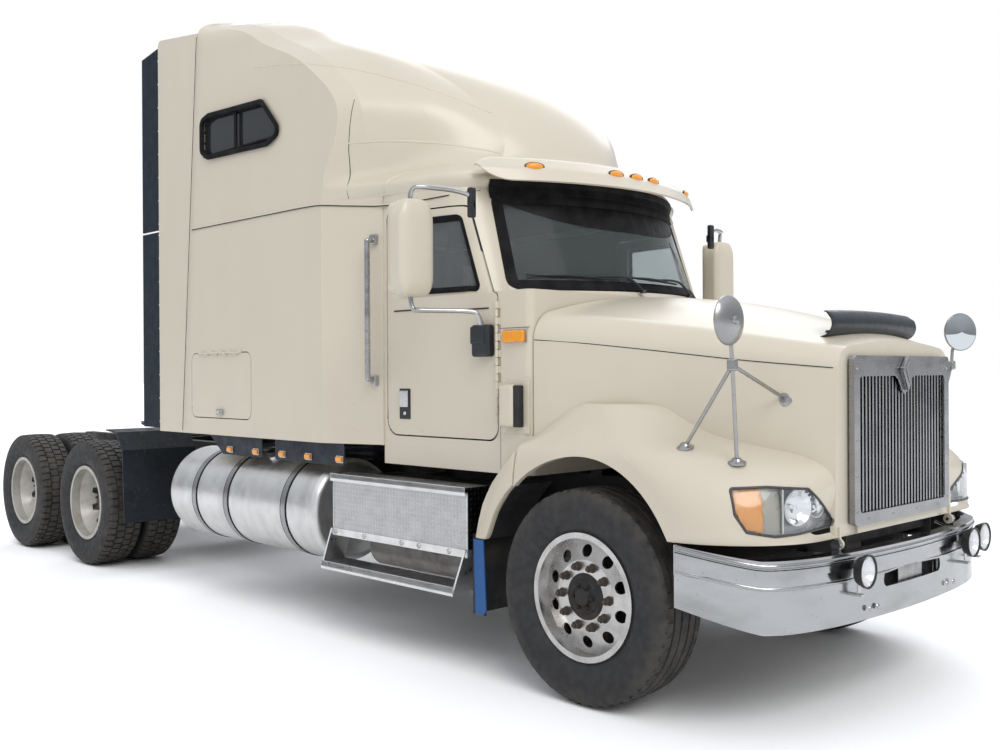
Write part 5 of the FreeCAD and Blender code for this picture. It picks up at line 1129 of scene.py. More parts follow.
# near-black film on the windscreen's top: painted shadow of the visor
visor_shadow_film = tune(plastic("visor_shadow_film", (0.003, 0.003, 0.003), 0.3), Specular_IOR_Level=0.12)
dress("glass", tinted, "windshield")
dress("glass", dark_glass, "door_glass_left", "door_glass_right")
dress("glass", privacy_glass, "sleeper_windows")
on_screen = feeler("windshield")
on_front = feeler("cab_shell", "windshield", "roof_fairing")
screen_line = dense(rounded(SCREEN, 0.06, 8), 0.05)
settle(gasket("windscreen_seal", screen_line, SCREEN_SEAL, screen_face), "chassis", "rubber", seal_rubber)
# black strip up to the visor: painted shade under it
settle(walled(sheet("screen_top_shade_strip", 24, 3, shade_strip_place), 0.002), "chassis", "rubber", seal_rubber)
# painted shadow of the visor along the windscreen's top
settle(walled(sheet("screen_visor_shadow", 24, 2, visor_shadow_place), 0.001), "chassis", "glass", visor_shadow_film)
wipers = [wiper(-0.150, -0.290, -0.520, 0.235), wiper(0.340, 0.150, -0.020, 0.235)]
settle(joined("wipers", wipers), "chassis", "smoked_plastic", black_plastic)
side_line = dense(rounded([(AXLE_X + x, z) for x, z in SIDE_GLASS], 0.045), 0.08)
glass_line = dense(rounded([(AXLE_X + x, z) for x, z in DOOR_GLASS], (0.04, 0, 0.01, 0.02, 0.04, 0.04)), 0.08)
for s, label in SIDES:
    seal = gasket("side_window_seal_" + label, side_line, SIDE_SEAL,
                  lambda p, high: Vector((p[0], s * (SLEEPER_Y + high), p[1])))
    settle(seal, "chassis", "rubber", seal_rubber)
    depth = (SLEEPER_Y - 0.014, SLEEPER_Y - 0.002)
    bars = [side_block("bar", s, (-2.965, -2.935), depth, (2.998, 3.285), 0.003),
            side_block("bar", s, (-3.370, -2.470), depth, (3.016, 3.030), 0.003)]
    settle(joined("side_window_bars_" + label, bars), "chassis", "rubber", seal_rubber)
    seal = gasket("door_window_seal_" + label, glass_line, DOOR_SEAL, door_face(s))
    settle(seal, "door_" + label, "rubber", seal_rubber)

# ---- doors: handle, mouldings, mirror glass ---------------------------------------------------------
# Each door has a chromed paddle handle in a black dish, a thin trim line under the glass
# and small rivets along its edges. The mirror housings hold flat glass facing rearward.
CAB_Y = 1.050
MIRROR_FACE = (-1.0195, -1.0155)


def cab_block(name, s, x0, x1, z0, z1, depth0, depth1, bevel):
    """Box on the cab's side wall, from one depth to another outside it."""
    return side_block(name, s, (x0, x1), (CAB_Y + depth0, CAB_Y + depth1), (z0, z1), bevel, 3)


def side_places(s, places, out=0.0):
    """Places on the cab's side wall, from (distance from the front axle, height)."""
    return [at(x, s * (CAB_Y + out), z) for x, z in places]


handle_chrome = bright_steel("handle_chrome", (0.60, 0.60, 0.60), 0.12, 0.3)
rivet = dome("rivet", 0.0055, 0.0022)
DOOR_RIVETS = ([(-1.525, z) for z in (1.32, 1.50, 1.68, 1.86)] + [(x, 1.222) for x in (-1.42, -1.24, -1.06, -0.88)]
               + [(-0.672, z) for z in (1.34, 1.42, 1.50, 1.58, 1.66, 1.74, 1.82, 1.90)])
for s, label in SIDES:
    body = "door_" + label
    dish = cab_block("door_dish_" + label, s, -1.440, -1.346, 1.286, 1.456, -0.002, 0.005, 0.004)
    settle(dish, body, "smoked_plastic", black_plastic)
    paddle = cab_block("paddle", s, -1.430, -1.356, 1.352, 1.446, 0.003, 0.017, 0.006)
    lock = moved(dome("lock", 0.012, 0.006, 16), Matrix.Translation(side_places(s, [(-1.393, 1.318)], 0.005)[0]),
                 Matrix.Rotation(-s * math.pi / 2, 4, "X"))
    settle(joined("door_handle_" + label, [paddle, lock]), body, "polished_metal", handle_chrome)
    trim = [cab_block("trim", s, x0, x1, z, z + 0.008, -0.001, 0.004, 0.0015)
            for x0, x1, z in ((-1.485, -1.180, 1.889), (-1.120, -0.710, 1.872))]
    settle(joined("door_trim_" + label, trim), body, "smoked_plastic", joint_and_shade_black)
    rivets = studded("door_rivets_" + label, rivet, side_places(s, DOOR_RIVETS), (0, s, 0))
    settle(rivets, body, "cream_paint", cream)
    panes = [side_block("pane", s, MIRROR_FACE, (1.280, 1.450), span) for span in ((2.106, 2.402), (1.962, 2.080))]
    settle(joined("door_mirror_glass_" + label, panes), body, "glass", mirror_glass)

# ---- cowl: air intake and joint lines ------------------------------------------------------------------
# Between door and hood a riveted plate carries a scooped air intake. Its mouth, which opens
# forward, is a solid black block of painted shade. The panel joints show as fine dark lines
# with rivets beside them.
COWL_X = (-0.575, -0.512, -0.450)
COWL_RIVETS = [(x, 1.775) for x in COWL_X] + [(-0.618, z) for z in (1.20, 1.32, 1.44, 1.58, 1.66, 1.82, 1.90)]
for s, label in SIDES:
    intake = [cab_block("plate", s, -0.605, -0.420, 1.236, 1.520, -0.002, 0.004, 0.003),
              cab_block("scoop", s, -0.597, -0.492, 1.266, 1.484, 0.000, 0.052, 0.022)]
    settle(joined("cowl_intake_" + label, intake), "chassis", "cream_paint", cream)
    # black block at the scoop's front: painted shade of the intake's opening
    mouth_shade = cab_block("cowl_mouth_" + label, s, -0.500, -0.456, 1.270, 1.480, 0.002, 0.042, 0.008)
    settle(mouth_shade, "chassis", "smoked_plastic", joint_and_shade_black)
    places = side_places(s, [(x, z) for x in COWL_X for z in (1.250, 1.506)], 0.004) + side_places(s, COWL_RIVETS)
    settle(studded("cowl_rivets_" + label, rivet, places, (0, s, 0)), "chassis", "cream_paint", cream)
    lines = [cab_block("line", s, -0.628, -0.416, 1.7675, 1.7700, -0.002, 0.0008, 0.0004),
             cab_block("line", s, -0.6280, -0.6258, 1.040, 1.900, -0.002, 0.0008, 0.0004)]
    settle(joined("cowl_joints_" + label, lines), "chassis", "black_paint", joint_and_shade_black)

# ---- sleeper: joints, rivets, luggage door latch -----------------------------------------------------------
# Aluminium skins overlap under a moulding at the roof joint. Rows of flush rivets follow
# the joints and the slanted strip at the rear edge. The luggage door closes on a slam latch.
ROOF_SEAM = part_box("roof_fairing")[0].z
# slanted rear edge: distance from the front axle and height, low and high
REAR_LOW, REAR_HIGH = (-3.688, 1.145), (-3.457, 3.886)
STRIP_REAR = -4.040
# the joint falls in front of the sleeper and runs on over the door: x and z, then y and z
JOINT_FALL = [(-2.060, 2.549), (-2.000, 2.545), (-1.940, 2.540), (-1.850, 2.530), (-1.760, 2.522), (-1.640, 2.510),
              (-1.500, 2.504), (-1.400, 2.506), (-1.300, 2.509), (-1.200, 2.513), (-1.110, 2.517)]
JOINT_END = ((0.920, 2.528), (0.830, 2.546))
# styling lines pressed in the roof: radius, how far the bead stands out, x y z
ROOF_LINES = (
    (0.0045, -0.0015, ((-2.752, 1.186, 3.507), (-2.432, 1.188, 3.463), (-2.189, 1.189, 3.415), (-2.011, 1.124, 3.378),
                       (-1.884, 1.042, 3.350), (-1.747, 0.954, 3.306), (-1.621, 0.875, 3.258), (-1.469, 0.752, 3.192),
                       (-1.341, 0.608, 3.120), (-1.256, 0.499, 3.068))),
    (0.0120, -0.0092, ((-1.790, 1.146, 2.878), (-1.711, 1.080, 2.884), (-1.619, 1.005, 2.886), (-1.509, 0.909, 2.880),
                       (-1.398, 0.815, 2.868), (-1.236, 0.667, 2.835), (-1.148, 0.537, 2.811))),
    (0.0100, -0.0055, ((-1.560, 1.062, 2.575), (-1.535, 1.060, 2.620), (-1.511, 1.005, 2.669), (-1.466, 0.946, 2.699),
                       (-1.367, 0.888, 2.716), (-1.250, 0.832, 2.718))))
# the latch's plate and paddle: ends along, foot and face over the side, ends up and bevel
LATCH = (("plate", (-3.205, -3.135), -0.002, 0.006, (1.268, 1.308), 0.006),
         ("paddle", (-3.192, -3.148), 0.004, 0.014, (1.276, 1.300), 0.004))
ROOF_SPLIT = ((-1.748, 1.126, 3.129), (-1.766, 1.146, 2.982), (-1.800, 1.135, 2.845), (-1.812, 1.125, 2.674),
              (-1.805, 1.128, 2.560))


def rear_edge(z):
    """Where the sleeper's rear edge lies at a height."""
    return REAR_LOW[0] + (z - REAR_LOW[1]) * (REAR_HIGH[0] - REAR_LOW[0]) / (REAR_HIGH[1] - REAR_LOW[1])


def on_skin(points, s, out, steps=5):
    """Line of places hugging the roof between a few given ones."""
    line = []
    for first, last in zip(points, points[1:]):
        for i in range(steps + 1):
            x, y, z = Vector(first).lerp(Vector(last), i / steps)
            place, normal = on_roof(at(x, s * y, z))
            if not line or (place - line[-1]).length > 0.004:
                line.append(place + normal * out)
    return line


def side_touch(feel, s, x, z):
    """Place on the outer side of a node."""
    return feel(at(x, s * 3.0, z), (0, -s, 0))[0]


on_sleeper = feeler("sleeper_shell")
on_shells = feeler("sleeper_shell", "cab_shell")
on_roof = feeler("roof_fairing")
for s, label in SIDES:
    route = [(rear_edge(ROOF_SEAM) + 0.02 + 0.15 * i, ROOF_SEAM - 0.004) for i in range(10)] + JOINT_FALL
    joint = [side_touch(on_shells, s, x, z) + Vector((0, s * 0.001, 0)) for x, z in route]
    joint += [on_shells(at(0.0, s * (y + 1.0), z), (-1, -s, 0))[0] for y, z in JOINT_END]
    settle(tube("roof_joint_" + label, joint, 0.0060, bend=False), "chassis", "cream_paint", cream)
    lines = [tube("line", on_skin(points, s, out), radius) for radius, out, points in ROOF_LINES]
    settle(joined("roof_lines_" + label, lines), "chassis", "cream_paint", cream)
    below_joint = [p + Vector((0.001, s * 0.0030, -0.0075)) for p in joint]
    rear_line = [at(rear_edge(z) + 0.012, s * (SLEEPER_Y + 0.0004), z) for z in (1.15, 1.8, 2.55, 3.2, 3.86)]
    for name, points, radius, bend in (("roof_gap_", below_joint, 0.0028, False),
                                       ("roof_split_", on_skin(ROOF_SPLIT, s, -0.0006), 0.0022, True),
                                       ("rear_joint_", rear_line, 0.0020, False)):
        settle(tube(name + label, points, radius, bend), "chassis", "black_paint", joint_and_shade_black)
    places = []
    for z in [1.20 + 0.135 * i for i in range(20)]:
        for x in (rear_edge(z) + 0.040, rear_edge(z) - 0.030, STRIP_REAR + 0.035):
            places.append(at(x, s * SLEEPER_Y, z))
    for x in [rear_edge(ROOF_SEAM) + 0.09 + 0.15 * i for i in range(10)]:
        places += [side_touch(on_sleeper, s, x, ROOF_SEAM - 0.035), side_touch(on_roof, s, x, ROOF_SEAM + 0.032)]
    places += [side_touch(on_sleeper, s, -1.780, 1.22 + 0.14 * i) for i in range(9)]
    settle(studded("sleeper_rivets_" + label, rivet, places, (0, s, 0)), "chassis", "cream_paint", cream)
    latch = [side_block(name, s, along, (SLEEPER_Y + foot, SLEEPER_Y + face), up, bevel, 3)
             for name, along, foot, face, up, bevel in LATCH]
    settle(joined("luggage_latch_" + label, latch), "luggage_door_" + label, "polished_metal", handle_chrome)

# ---- extenders ------------------------------------------------------------------------------------------------
# Stiff dark navy rubber sheets, in two lengths split at the belt, carry the sleeper's
# sides rearward. A strip in the same navy clamps each with screws along its front edge.
RUBBER_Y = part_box("rubber_extenders")[1].y
navy_rubber = tune(surface("navy_rubber", (0.005, 0.013, 0.022), 0.55), Specular_IOR_Level=0.25)
stain(navy_rubber, (0.011, 0.018, 0.026), 0.35, 3.0, 0.45, 0.8, (1, 1, 0.3))
dull(navy_rubber, 0.5, 0.7, 12.0, 0.3, 0.7)
grain(navy_rubber, 0.0006, 0.2, 200.0, 0.3, 0.7)
dress("rubber", navy_rubber, "rubber_extenders")
for s, label in SIDES:
    clamps = [side_block("clamp", s, (STRIP_REAR - 0.050, STRIP_REAR - 0.006),
                         (RUBBER_Y - 0.002, RUBBER_Y + 0.004), span, 0.001)
              for span in ((1.165, 2.570), (2.610, 3.905))]
    settle(joined("extender_clamp_" + label, clamps), "chassis", "rubber", navy_rubber)
    heads = [at(STRIP_REAR - 0.028, s * (RUBBER_Y + 0.004), z)
             for z in [1.20 + 0.17 * i for i in range(9)] + [2.64 + 0.17 * i for i in range(8)]]
    settle(studded("extender_bolts_" + label, screw, heads, (0, s, 0)), "chassis", "steel", bezel_steel)

# ---- fuel tanks and their straps -------------------------------------------------------------------------
# Spun aluminium drums, brushed and weathered, held on brackets by three steel straps that
# lie on black rubber. Each has a black screw cap with a collar.
TANK_R = 0.315
TANK_MID = (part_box("fuel_tanks")[1].y - TANK_R, 0.700)
STRAP_X, WELD_X = (-3.520, -3.100, -2.410), (-3.845, -2.135)
BAND = ((-0.035, TANK_R - 0.002), (-0.035, TANK_R + 0.0022), (0.035, TANK_R + 0.0022), (0.035, TANK_R - 0.002))
WELD = ((-0.006, TANK_R - 0.002), (0.0, TANK_R + 0.0014), (0.006, TANK_R - 0.002))
CAP_COLLAR = ((-0.010, 0.001), (-0.010, 0.040), (-0.012, 0.046), (-0.004, 0.047), (0.004, 0.046), (0.004, 0.001))
CAP_LID = ((0.004, 0.001), (0.004, 0.044), (0.020, 0.044), (0.024, 0.038), (0.024, 0.012), (0.031, 0.010),
           (0.031, 0.001))
ALONG = Matrix.Rotation(math.pi / 2, 4, "Z")


def split_dress(node, slot, mats, which):
    """Gives a CAD node several materials by where its faces lie."""
    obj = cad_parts[node]
    dress(slot, mats[0], node)
    for mat in mats[1:]:
        obj.data.materials.append(mat)
    for face in obj.data.polygons:
        face.material_index = which(face.center - Vector((AXLE_X, 0, 0)), face.normal)


def strap_face(c, n):
    """Steel on the strap's outside, black paint on its bracket."""
    return 0 if math.hypot(abs(c.y) - TANK_MID[0], c.z - TANK_MID[1]) > TANK_R - 0.004 and abs(c.y) > 0.60 else 1


tank_skin = metal("tank_aluminium", (0.74, 0.74, 0.735), 0.28, 0.48, (0.50, 0.49, 0.47), 0.45)
stain(tank_skin, (0.50, 0.50, 0.51), 0.40, 3.5, 0.45, 0.75, (2.5, 0.4, 0.4))
grain(tank_skin, 0.0006, 0.12, 50.0, 0.3, 0.7, (0.1, 1, 1))
strap_steel = bright_steel("strap_steel", (0.36, 0.365, 0.37), 0.20, 0.42)
dress("aluminium", tank_skin, "fuel_tanks")
split_dress("tank_straps", "steel", (strap_steel, black_frame), strap_face)
bands = [smooth(moved(turned("band", BAND, 96), Matrix.Translation(at(x, *TANK_MID)), ALONG), 30) for x in STRAP_X]
pair(joined("bands", bands), "strap_rubber", "chassis", "rubber", seal_rubber)
weld = smooth(moved(turned("weld", WELD, 96), ALONG), 60)
welds = joined("welds", [twin(weld, "weld", move=at(x, *TANK_MID)) for x in WELD_X])
drop(weld)
pair(welds, "tank_welds", "chassis", "aluminium", tank_skin)
cap = smooth(joined("cap", [turned("collar", CAP_COLLAR, 32), turned("lid", CAP_LID, 32)]), 30)
moved(cap, Matrix.Translation(at(-2.800, 1.012, 1.022)), aim((0, 0.40, 0.92), "Y", "X"))
pair(cap, "tank_cap", "chassis", "smoked_plastic", black_plastic)

# ---- steps and battery boxes -----------------------------------------------------------------------------
# Boxes and treads of aluminium chequer plate with plain folded lips, dark at the ends and
# black inside. The low step hangs on side plates, and bolts hold the foot of the box.
STEP_X0, STEP_X1 = -1.905, -0.735
STEP_FACE, STEP_EDGE = 1.180, 1.202
STEP_TOP, STEP_LOW, LOW_STEP = 0.958, 0.640, 0.438
LOW_X0, LOW_X1 = -2.005, -0.832
COVER_Y, COVER_Z = (STEP_FACE, STEP_FACE + 0.004), (STEP_LOW, STEP_TOP - 0.045)
# ends along, out and up of the folded lips and of the covers at the box's ends
STEP_PIECES = (((STEP_X0, STEP_X1), (STEP_EDGE - 0.004, STEP_EDGE), (STEP_TOP - 0.042, STEP_TOP + 0.003)),
               ((LOW_X0, LOW_X1), (STEP_EDGE - 0.004, STEP_EDGE), (LOW_STEP - 0.046, LOW_STEP + 0.003)),
               ((STEP_X0 + 0.002, STEP_X0 + 0.008), COVER_Y, COVER_Z),
               ((STEP_X1 - 0.008, STEP_X1 - 0.002), COVER_Y, COVER_Z))


def lozenges(mat, across, up, pitch):
    """Mask of a chequer plate's raised lozenges, lying left and right by turns."""
    def calc(operation, one, other=0.0):
        return add(mat, "Math", {0: one, 1: other}, operation=operation)
    where = add(mat, "TexCoord", {}, "Object")
    u, v = (calc("DIVIDE", add(mat, "SeparateXYZ", {"Vector": where}, axis), pitch) for axis in (across, up))
    odd = calc("PINGPONG", calc("ADD", calc("FLOOR", u), calc("FLOOR", v)), 1.0)
    a, b = calc("SUBTRACT", calc("FRACT", u), 0.5), calc("SUBTRACT", calc("FRACT", v), 0.5)
    lean = calc("MULTIPLY", calc("SUBTRACT", calc("MULTIPLY", odd, 2.0), 1.0), b)
    along, athwart = calc("DIVIDE", calc("ADD", a, lean), 0.62), calc("DIVIDE", calc("SUBTRACT", a, lean), 0.20)
    far = calc("ADD", calc("POWER", along, 2.0), calc("POWER", athwart, 2.0))
    return calc("MAXIMUM", calc("SUBTRACT", 1.0, far), 0.0)


def chequer(name, across, up, pitch, colour, high_colour, depth):
    """Bright or dark plate with raised lozenges."""
    mat = metal(name, colour, 0.28, 0.50, tuple(c * 0.6 for c in colour), 0.4)
    mask = lozenges(mat, across, up, pitch)
    lay_over(mat, high_colour, times(mat, mask, 0.8))
    emboss(mat, depth, 0.9, mask)
    return mat


def step_face(c, n):
    """Which finish a face of the steps has: lip, tread, front, end or black inside."""
    y = abs(c.y)
    if n.z > 0.9 and (c.z > STEP_TOP - 0.002 or abs(c.z - LOW_STEP) < 0.002) and y < STEP_EDGE:
        return 1
    if abs(n.y) > 0.9 and abs(y - STEP_FACE) < 0.003 and c.z > STEP_LOW:
        return 2
    if n.x > 0.9 and c.z > STEP_LOW and y > 0.75 and c.x > STEP_X1 - 0.01:
        return 3
    return 4 if y < 1.03 and not (y > 0.70 and c.z > STEP_LOW and abs(n.z) < 0.1) else 0


plate_front = chequer("chequer_front", "X", "Z", 0.026, (0.52, 0.52, 0.52), (0.84, 0.84, 0.84), 0.002)
plate_end = chequer("chequer_end", "Y", "Z", 0.026, (0.030, 0.030, 0.032), (0.10, 0.10, 0.10), 0.002)
tread_plate = chequer("tread_plate", "X", "Y", 0.030, (0.34, 0.34, 0.345), (0.72, 0.72, 0.72), 0.004)
lip_metal = metal("lip_aluminium", (0.78, 0.78, 0.78), 0.26, 0.45, (0.45, 0.43, 0.40), 0.4)
split_dress("side_steps", "aluminium", (lip_metal, tread_plate, plate_front, plate_end, black_frame), step_face)
washer = dome("washer", 0.016, 0.003, 16)
for s, label in SIDES:
    lips = [side_block("lip", s, *ends, 0.0015) for ends in STEP_PIECES]
    settle(joined("step_lips_" + label, lips), "chassis", "aluminium", lip_metal)
    heads = [at(x, s * (STEP_FACE + 0.006), STEP_LOW - 0.020) for x in (-1.875, -1.600, -1.265, -1.120, -0.875)]
    washers = studded("washers", washer, heads, (0, s, 0))
    bolts = studded("bolts", bolt, [h + Vector((0, s * 0.002, 0)) for h in heads], (0, s, 0))
    settle(joined("step_bolts_" + label, [bolts, washers]), "chassis", "steel", bezel_steel)
drop(washer)

# ---- fender feet and wheel houses ------------------------------------------------------------------------------
# Behind the hood's fender a fixed moulded foot in cream carries the arch on down to the
# flap, on a black liner and a plate from the step. The fender's hollow is sprayed black,
# which also paints the wheel house's shade.
ARCH_Z = 0.576
FOOT_INNER = ((-0.624, 0.705), (-0.605, 0.734), (-0.579, 0.788), (-0.548, 0.847), (-0.511, 0.897), (-0.462, 0.952),
              (-0.415, 0.992))
FOOT_OUTER = ((-0.473, 1.099), (-0.516, 1.050), (-0.559, 0.996), (-0.603, 0.932), (-0.635, 0.878), (-0.667, 0.797),
              (-0.696, 0.705))
FOOT_LINE = FOOT_INNER + ((-0.415, 1.160), (-0.440, 1.134)) + FOOT_OUTER
LINER_LINE = [(x - 0.004, z) for x, z in FOOT_INNER + ((-0.415, 1.022), (-0.538, 1.022)) + FOOT_OUTER[2:]]
FOOT_SKIN = 0.040


def foot_side(z):
    """How far out the foot's face stands at a height."""
    return 1.184 - 0.11 * max(0.0, z - 0.989) - 0.05 * max(0.0, 0.989 - z)


def in_hollow(c, n):
    """Faces of the hood that look into a wheel house."""
    dx, dz = AXLE_X - c.x, ARCH_Z - c.z
    reach = math.hypot(dx, dz)
    if abs(c.y) < 0.44 or reach > 0.78:
        return 0
    under = c.z > 0.95 and n.z < -0.2
    return 1 if under or n.y * c.y < -0.5 or (n.x * dx + n.z * dz) / reach > 0.7 else 0


liners = []
for s, label in SIDES:
    foot = slab("fender_foot_" + label, FOOT_LINE, lambda a, b, d: at(a, s * (foot_side(b) - FOOT_SKIN + d), b),
                FOOT_SKIN, 0.008)
    settle(smooth(foot, 40), "chassis", "cream_paint", cream)
    liners += [slab("liner", LINER_LINE, lambda a, b, d: at(a, s * (0.880 + d), b), 0.255, 0.002),
               side_block("plate", s, (-0.735, -0.640), (0.880, 1.150), (0.706, 0.723))]
liner = settle(joined("fender_liners", liners), "chassis", "black_paint", black_plastic)
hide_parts("fender_extensions")
# the hood's faces into the wheel house go black: partly undercoat, partly painted shade
split_dress("hood_shell", "cream_paint", (cream, black_plastic), in_hollow)

# ---- splash flaps, muffler and grab handles --------------------------------------------------------------------
# Black rubber flaps hang behind the front wheels, edged outside with a blue plastic
# strip. The muffler is rust-stained steel, the grab handles are stainless tube.
FLAP_STRIP = ((-0.712, 0.700), (-0.640, 0.700), (-0.622, 0.345), (-0.640, 0.322), (-0.700, 0.322))
FLAP_SIDE = ((-0.722, 0.705), (-0.648, 0.705), (-0.634, 0.318), (-0.722, 0.318))
flap_rubber = plastic("flap_rubber", (0.014, 0.015, 0.017), 0.55)
stain(flap_rubber, (0.11, 0.09, 0.07), 0.35, 6.0, 0.45, 0.75)
blue_strip = plastic("blue_strip", (0.006, 0.085, 0.285), 0.38)
muffler_steel = metal("muffler_steel", (0.30, 0.29, 0.275), 0.45, 0.70, (0.15, 0.085, 0.05), 0.7)
handle_steel = bright_steel("handle_steel", (0.50, 0.50, 0.51), 0.18, 0.38)
dress("rubber", flap_rubber, "splash_flaps")
dress("steel", muffler_steel, "muffler")
dress("polished_metal", handle_steel, "grab_handles")
for s, label in SIDES:
    for name, outline, out, thick, finish, mat in (
            ("flap_strip_", FLAP_STRIP, 1.158, 0.007, "smoked_plastic", blue_strip),
            ("flap_side_", FLAP_SIDE, 1.148, 0.009, "rubber", flap_rubber)):
        flap = slab(name + label, outline, lambda a, b, d: at(a, s * (out + d), b), thick, 0.001)
        settle(flap, "chassis", finish, mat)
    pads = [side_block("pad", s, (-1.660, -1.610), (1.052, 1.096), (z - 0.030, z + 0.030), 0.006, 3)
            for z in (1.500, 2.312)]
    settle(joined("handle_pads_" + label, pads), "chassis", "polished_metal", handle_steel)

# ---- door mirrors --------------------------------------------------------------------------------------------
# Rounded cream housings hang on two polished tube arms, the upper one clamped in a black
# bracket over the door's window and the lower one in a black moulded foot.
HOUSING_LOW, HOUSING_HIGH = at(-1.012, 1.250, 1.932), at(-0.878, 1.478, 2.430)
HOUSING_RIM = rounded([(1.266, 1.948), (1.464, 1.948), (1.464, 2.416), (1.266, 2.416)], 0.035)
MIRROR_ARMS = (((-0.812, 1.078, 2.462), (-0.830, 1.120, 2.486), (-0.900, 1.330, 2.494), (-0.948, 1.378, 2.492),
                (-0.950, 1.372, 2.405)),
               ((-0.730, 1.078, 1.760), (-0.735, 1.085, 1.850), (-0.780, 1.140, 1.862), (-0.905, 1.350, 1.862),
                (-0.950, 1.372, 1.868), (-0.950, 1.372, 1.950)))
# two corners, bevel and its steps
MIRROR_MOUNTS = (((-0.795, 1.050, 1.625), (-0.665, 1.100, 1.790), 0.014, 4),
                 ((-0.798, 1.060, 1.690), (-0.690, 1.106, 1.782), 0.010, 3),
                 ((-0.828, 1.050, 2.350), (-0.796, 1.094, 2.508), 0.010, 3),
                 ((-0.838, 1.050, 2.392), (-0.796, 1.082, 2.444), 0.012, 3))


def softened(obj, levels):
    """Rounds a mesh by subdivision."""
    activate(obj)
    soft = obj.modifiers.new("soft", "SUBSURF")
    soft.levels = soft.render_levels = levels
    bpy.ops.object.modifier_apply(modifier="soft")
    return obj


def mirror_housing():
    """Shell with a crowned back, narrower at its top and foot, and a rim round the glass."""
    shell = primitive(bpy.ops.mesh.primitive_cube_add, "housing", size=2.0)
    edit(shell, lambda: bpy.ops.mesh.bevel(offset=0.42, segments=5))
    softened(shell, 2)
    mid, half_size = (HOUSING_LOW + HOUSING_HIGH) / 2, (HOUSING_HIGH - HOUSING_LOW) / 2
    for v in shell.data.vertices:
        a, b, c = (max(-1.0, min(1.0, k)) for k in v.co)
        end = max(0.0, abs(c) - 0.55) / 0.45
        b *= 1 - 0.16 * end ** 2 - (0.05 if c > 0 else 0.0) * end
        if a > 0:
            a *= 1 - 0.30 * abs(b) ** 3 - 0.15 * end ** 2
        v.co = mid + Vector((a * half_size.x, b * half_size.y, c * half_size.z))
    rim = slab("rim", HOUSING_RIM, lambda a, b, d: at(-1.0160 + d, a, b), 0.040, 0.003)
    return smooth(joined("housing", [shell, rim]), 50)


arm_steel = bright_steel("arm_steel", (0.52, 0.52, 0.52), 0.16, 0.34)
mount_black = plastic("mount_black", (0.010, 0.013, 0.016), 0.35)
housing = mirror_housing()
arms = joined("arms", [tube("arm", [at(*p) for p in points], 0.0125, sides=4) for points in MIRROR_ARMS])
mounts = joined("mounts", [block("mount", at(*low), at(*high), *ease) for low, high, *ease in MIRROR_MOUNTS])
for s, label in SIDES:
    for source, name, finish, mat in ((housing, "housing_", "cream_paint", cream),
                                      (arms, "arms_", "polished_metal", arm_steel),
                                      (mounts, "mounts_", "smoked_plastic", mount_black)):
        piece = settle(twin(source, "door_mirror_" + name + label, s < 0), "door_" + label, finish, mat)
        if source == housing:
            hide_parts("door_mirror_" + label)
drop(housing, arms, mounts)

# ---- visor and its lamps ---------------------------------------------------------------------------------------
# A moulded brow over the windscreen, cream above; its underside is matt black, painted shade.
# Five oval amber lamps sit on its face, three together in the middle, each in a thin bezel.
LAMP_PLACES = (-0.680, -0.170, 0.0, 0.170, 0.680)
LAMP_HIGH = 2.656
# height of a level of the brow's face, its tip's and its corners' distance from the front axle, its half width
BROW = ((2.570, -0.505, -0.880, 0.960), (2.645, -0.565, -0.890, 0.955), (2.720, -0.650, -0.950, 0.900))
BROW_HALF = 0.940
BROW_WALL = 0.012
OVAL = ((-0.2, 0.01), (-0.2, 1.0), (0.25, 0.98), (0.62, 0.80), (0.88, 0.45), (1.0, 0.01))
OVAL_RIM = ((-0.2, 0.98), (-0.2, 1.12), (0.22, 1.10), (0.30, 1.04), (0.30, 0.98))
OVAL_SIZE = Matrix.Diagonal((0.052, 0.022, 0.022, 1))


def brow_face(y, z):
    """Distance from the front axle of the brow's face, a wide arc at each level."""
    rows = []
    for level, tip, corner, half in BROW:
        radius = (half ** 2 + (tip - corner) ** 2) / (2 * (tip - corner))
        rows.append((level, tip - radius + math.sqrt(radius ** 2 - y ** 2)))
    (z0, x0), (z1, x1) = rows[:2] if z < rows[1][0] else rows[1:]
    return x0 + (x1 - x0) * (z - z0) / (z1 - z0)


def brow_place(u, v):
    """Place on the brow, u across and v from its rear edge over the nose to the lip."""
    w = (v + 1) / 2
    y, end = BROW_HALF * u, max(0.0, (abs(u) - 0.86) / 0.14)
    lip = BROW[0][0] + 0.004 + 0.064 * end ** 2.2
    top = BROW[2][0] - 0.003 - 0.050 * end ** 2.2
    if w < 0.3:
        front = brow_face(y, top) - 0.012
        rear = min(front - 0.02, -1.20 + 0.50 * max(0.0, abs(y) - 0.4))
        return at(rear + (front - rear) * w / 0.3, y, top)
    z = top - 0.004 - (top - 0.004 - lip) * (w - 0.3) / 0.7
    return at(brow_face(y, z), y, z)


# near-black for painted shade: the brow's underside, and part of the bulkhead's black
shade_black_under = plastic("visor_under_shade", (0.012, 0.012, 0.013), 0.5)
brow = sheet("visor", 60, 20, brow_place)
# the brow's inner face in near-black: painted shade under it
walled(brow, BROW_WALL, -1 if brow.data.polygons[0].normal.z > 0 else 1, inner=1)
settle(smooth(brow, 40), "chassis", "cream_paint", cream, shade_black_under)
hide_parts("sun_visor")
on_visor = feeler("sun_visor")
for name, outline, finish, mat in (("visor_lenses", OVAL, "lamp_plastic", amber),
                                   ("visor_bezels", OVAL_RIM, "smoked_plastic", black_plastic)):
    oval = turned("oval", outline, 40)
    made = []
    for y in LAMP_PLACES:
        place, normal = on_visor((AXLE_X + 1.5, y, LAMP_HIGH), (-1, 0, 0))
        turn = aim((normal.x, normal.y, 0))
        made.append(smooth(moved(twin(oval, "brow"), Matrix.Translation(place), turn, OVAL_SIZE), 40))
    drop(oval)
    settle(joined(name, made), "chassis", finish, mat)

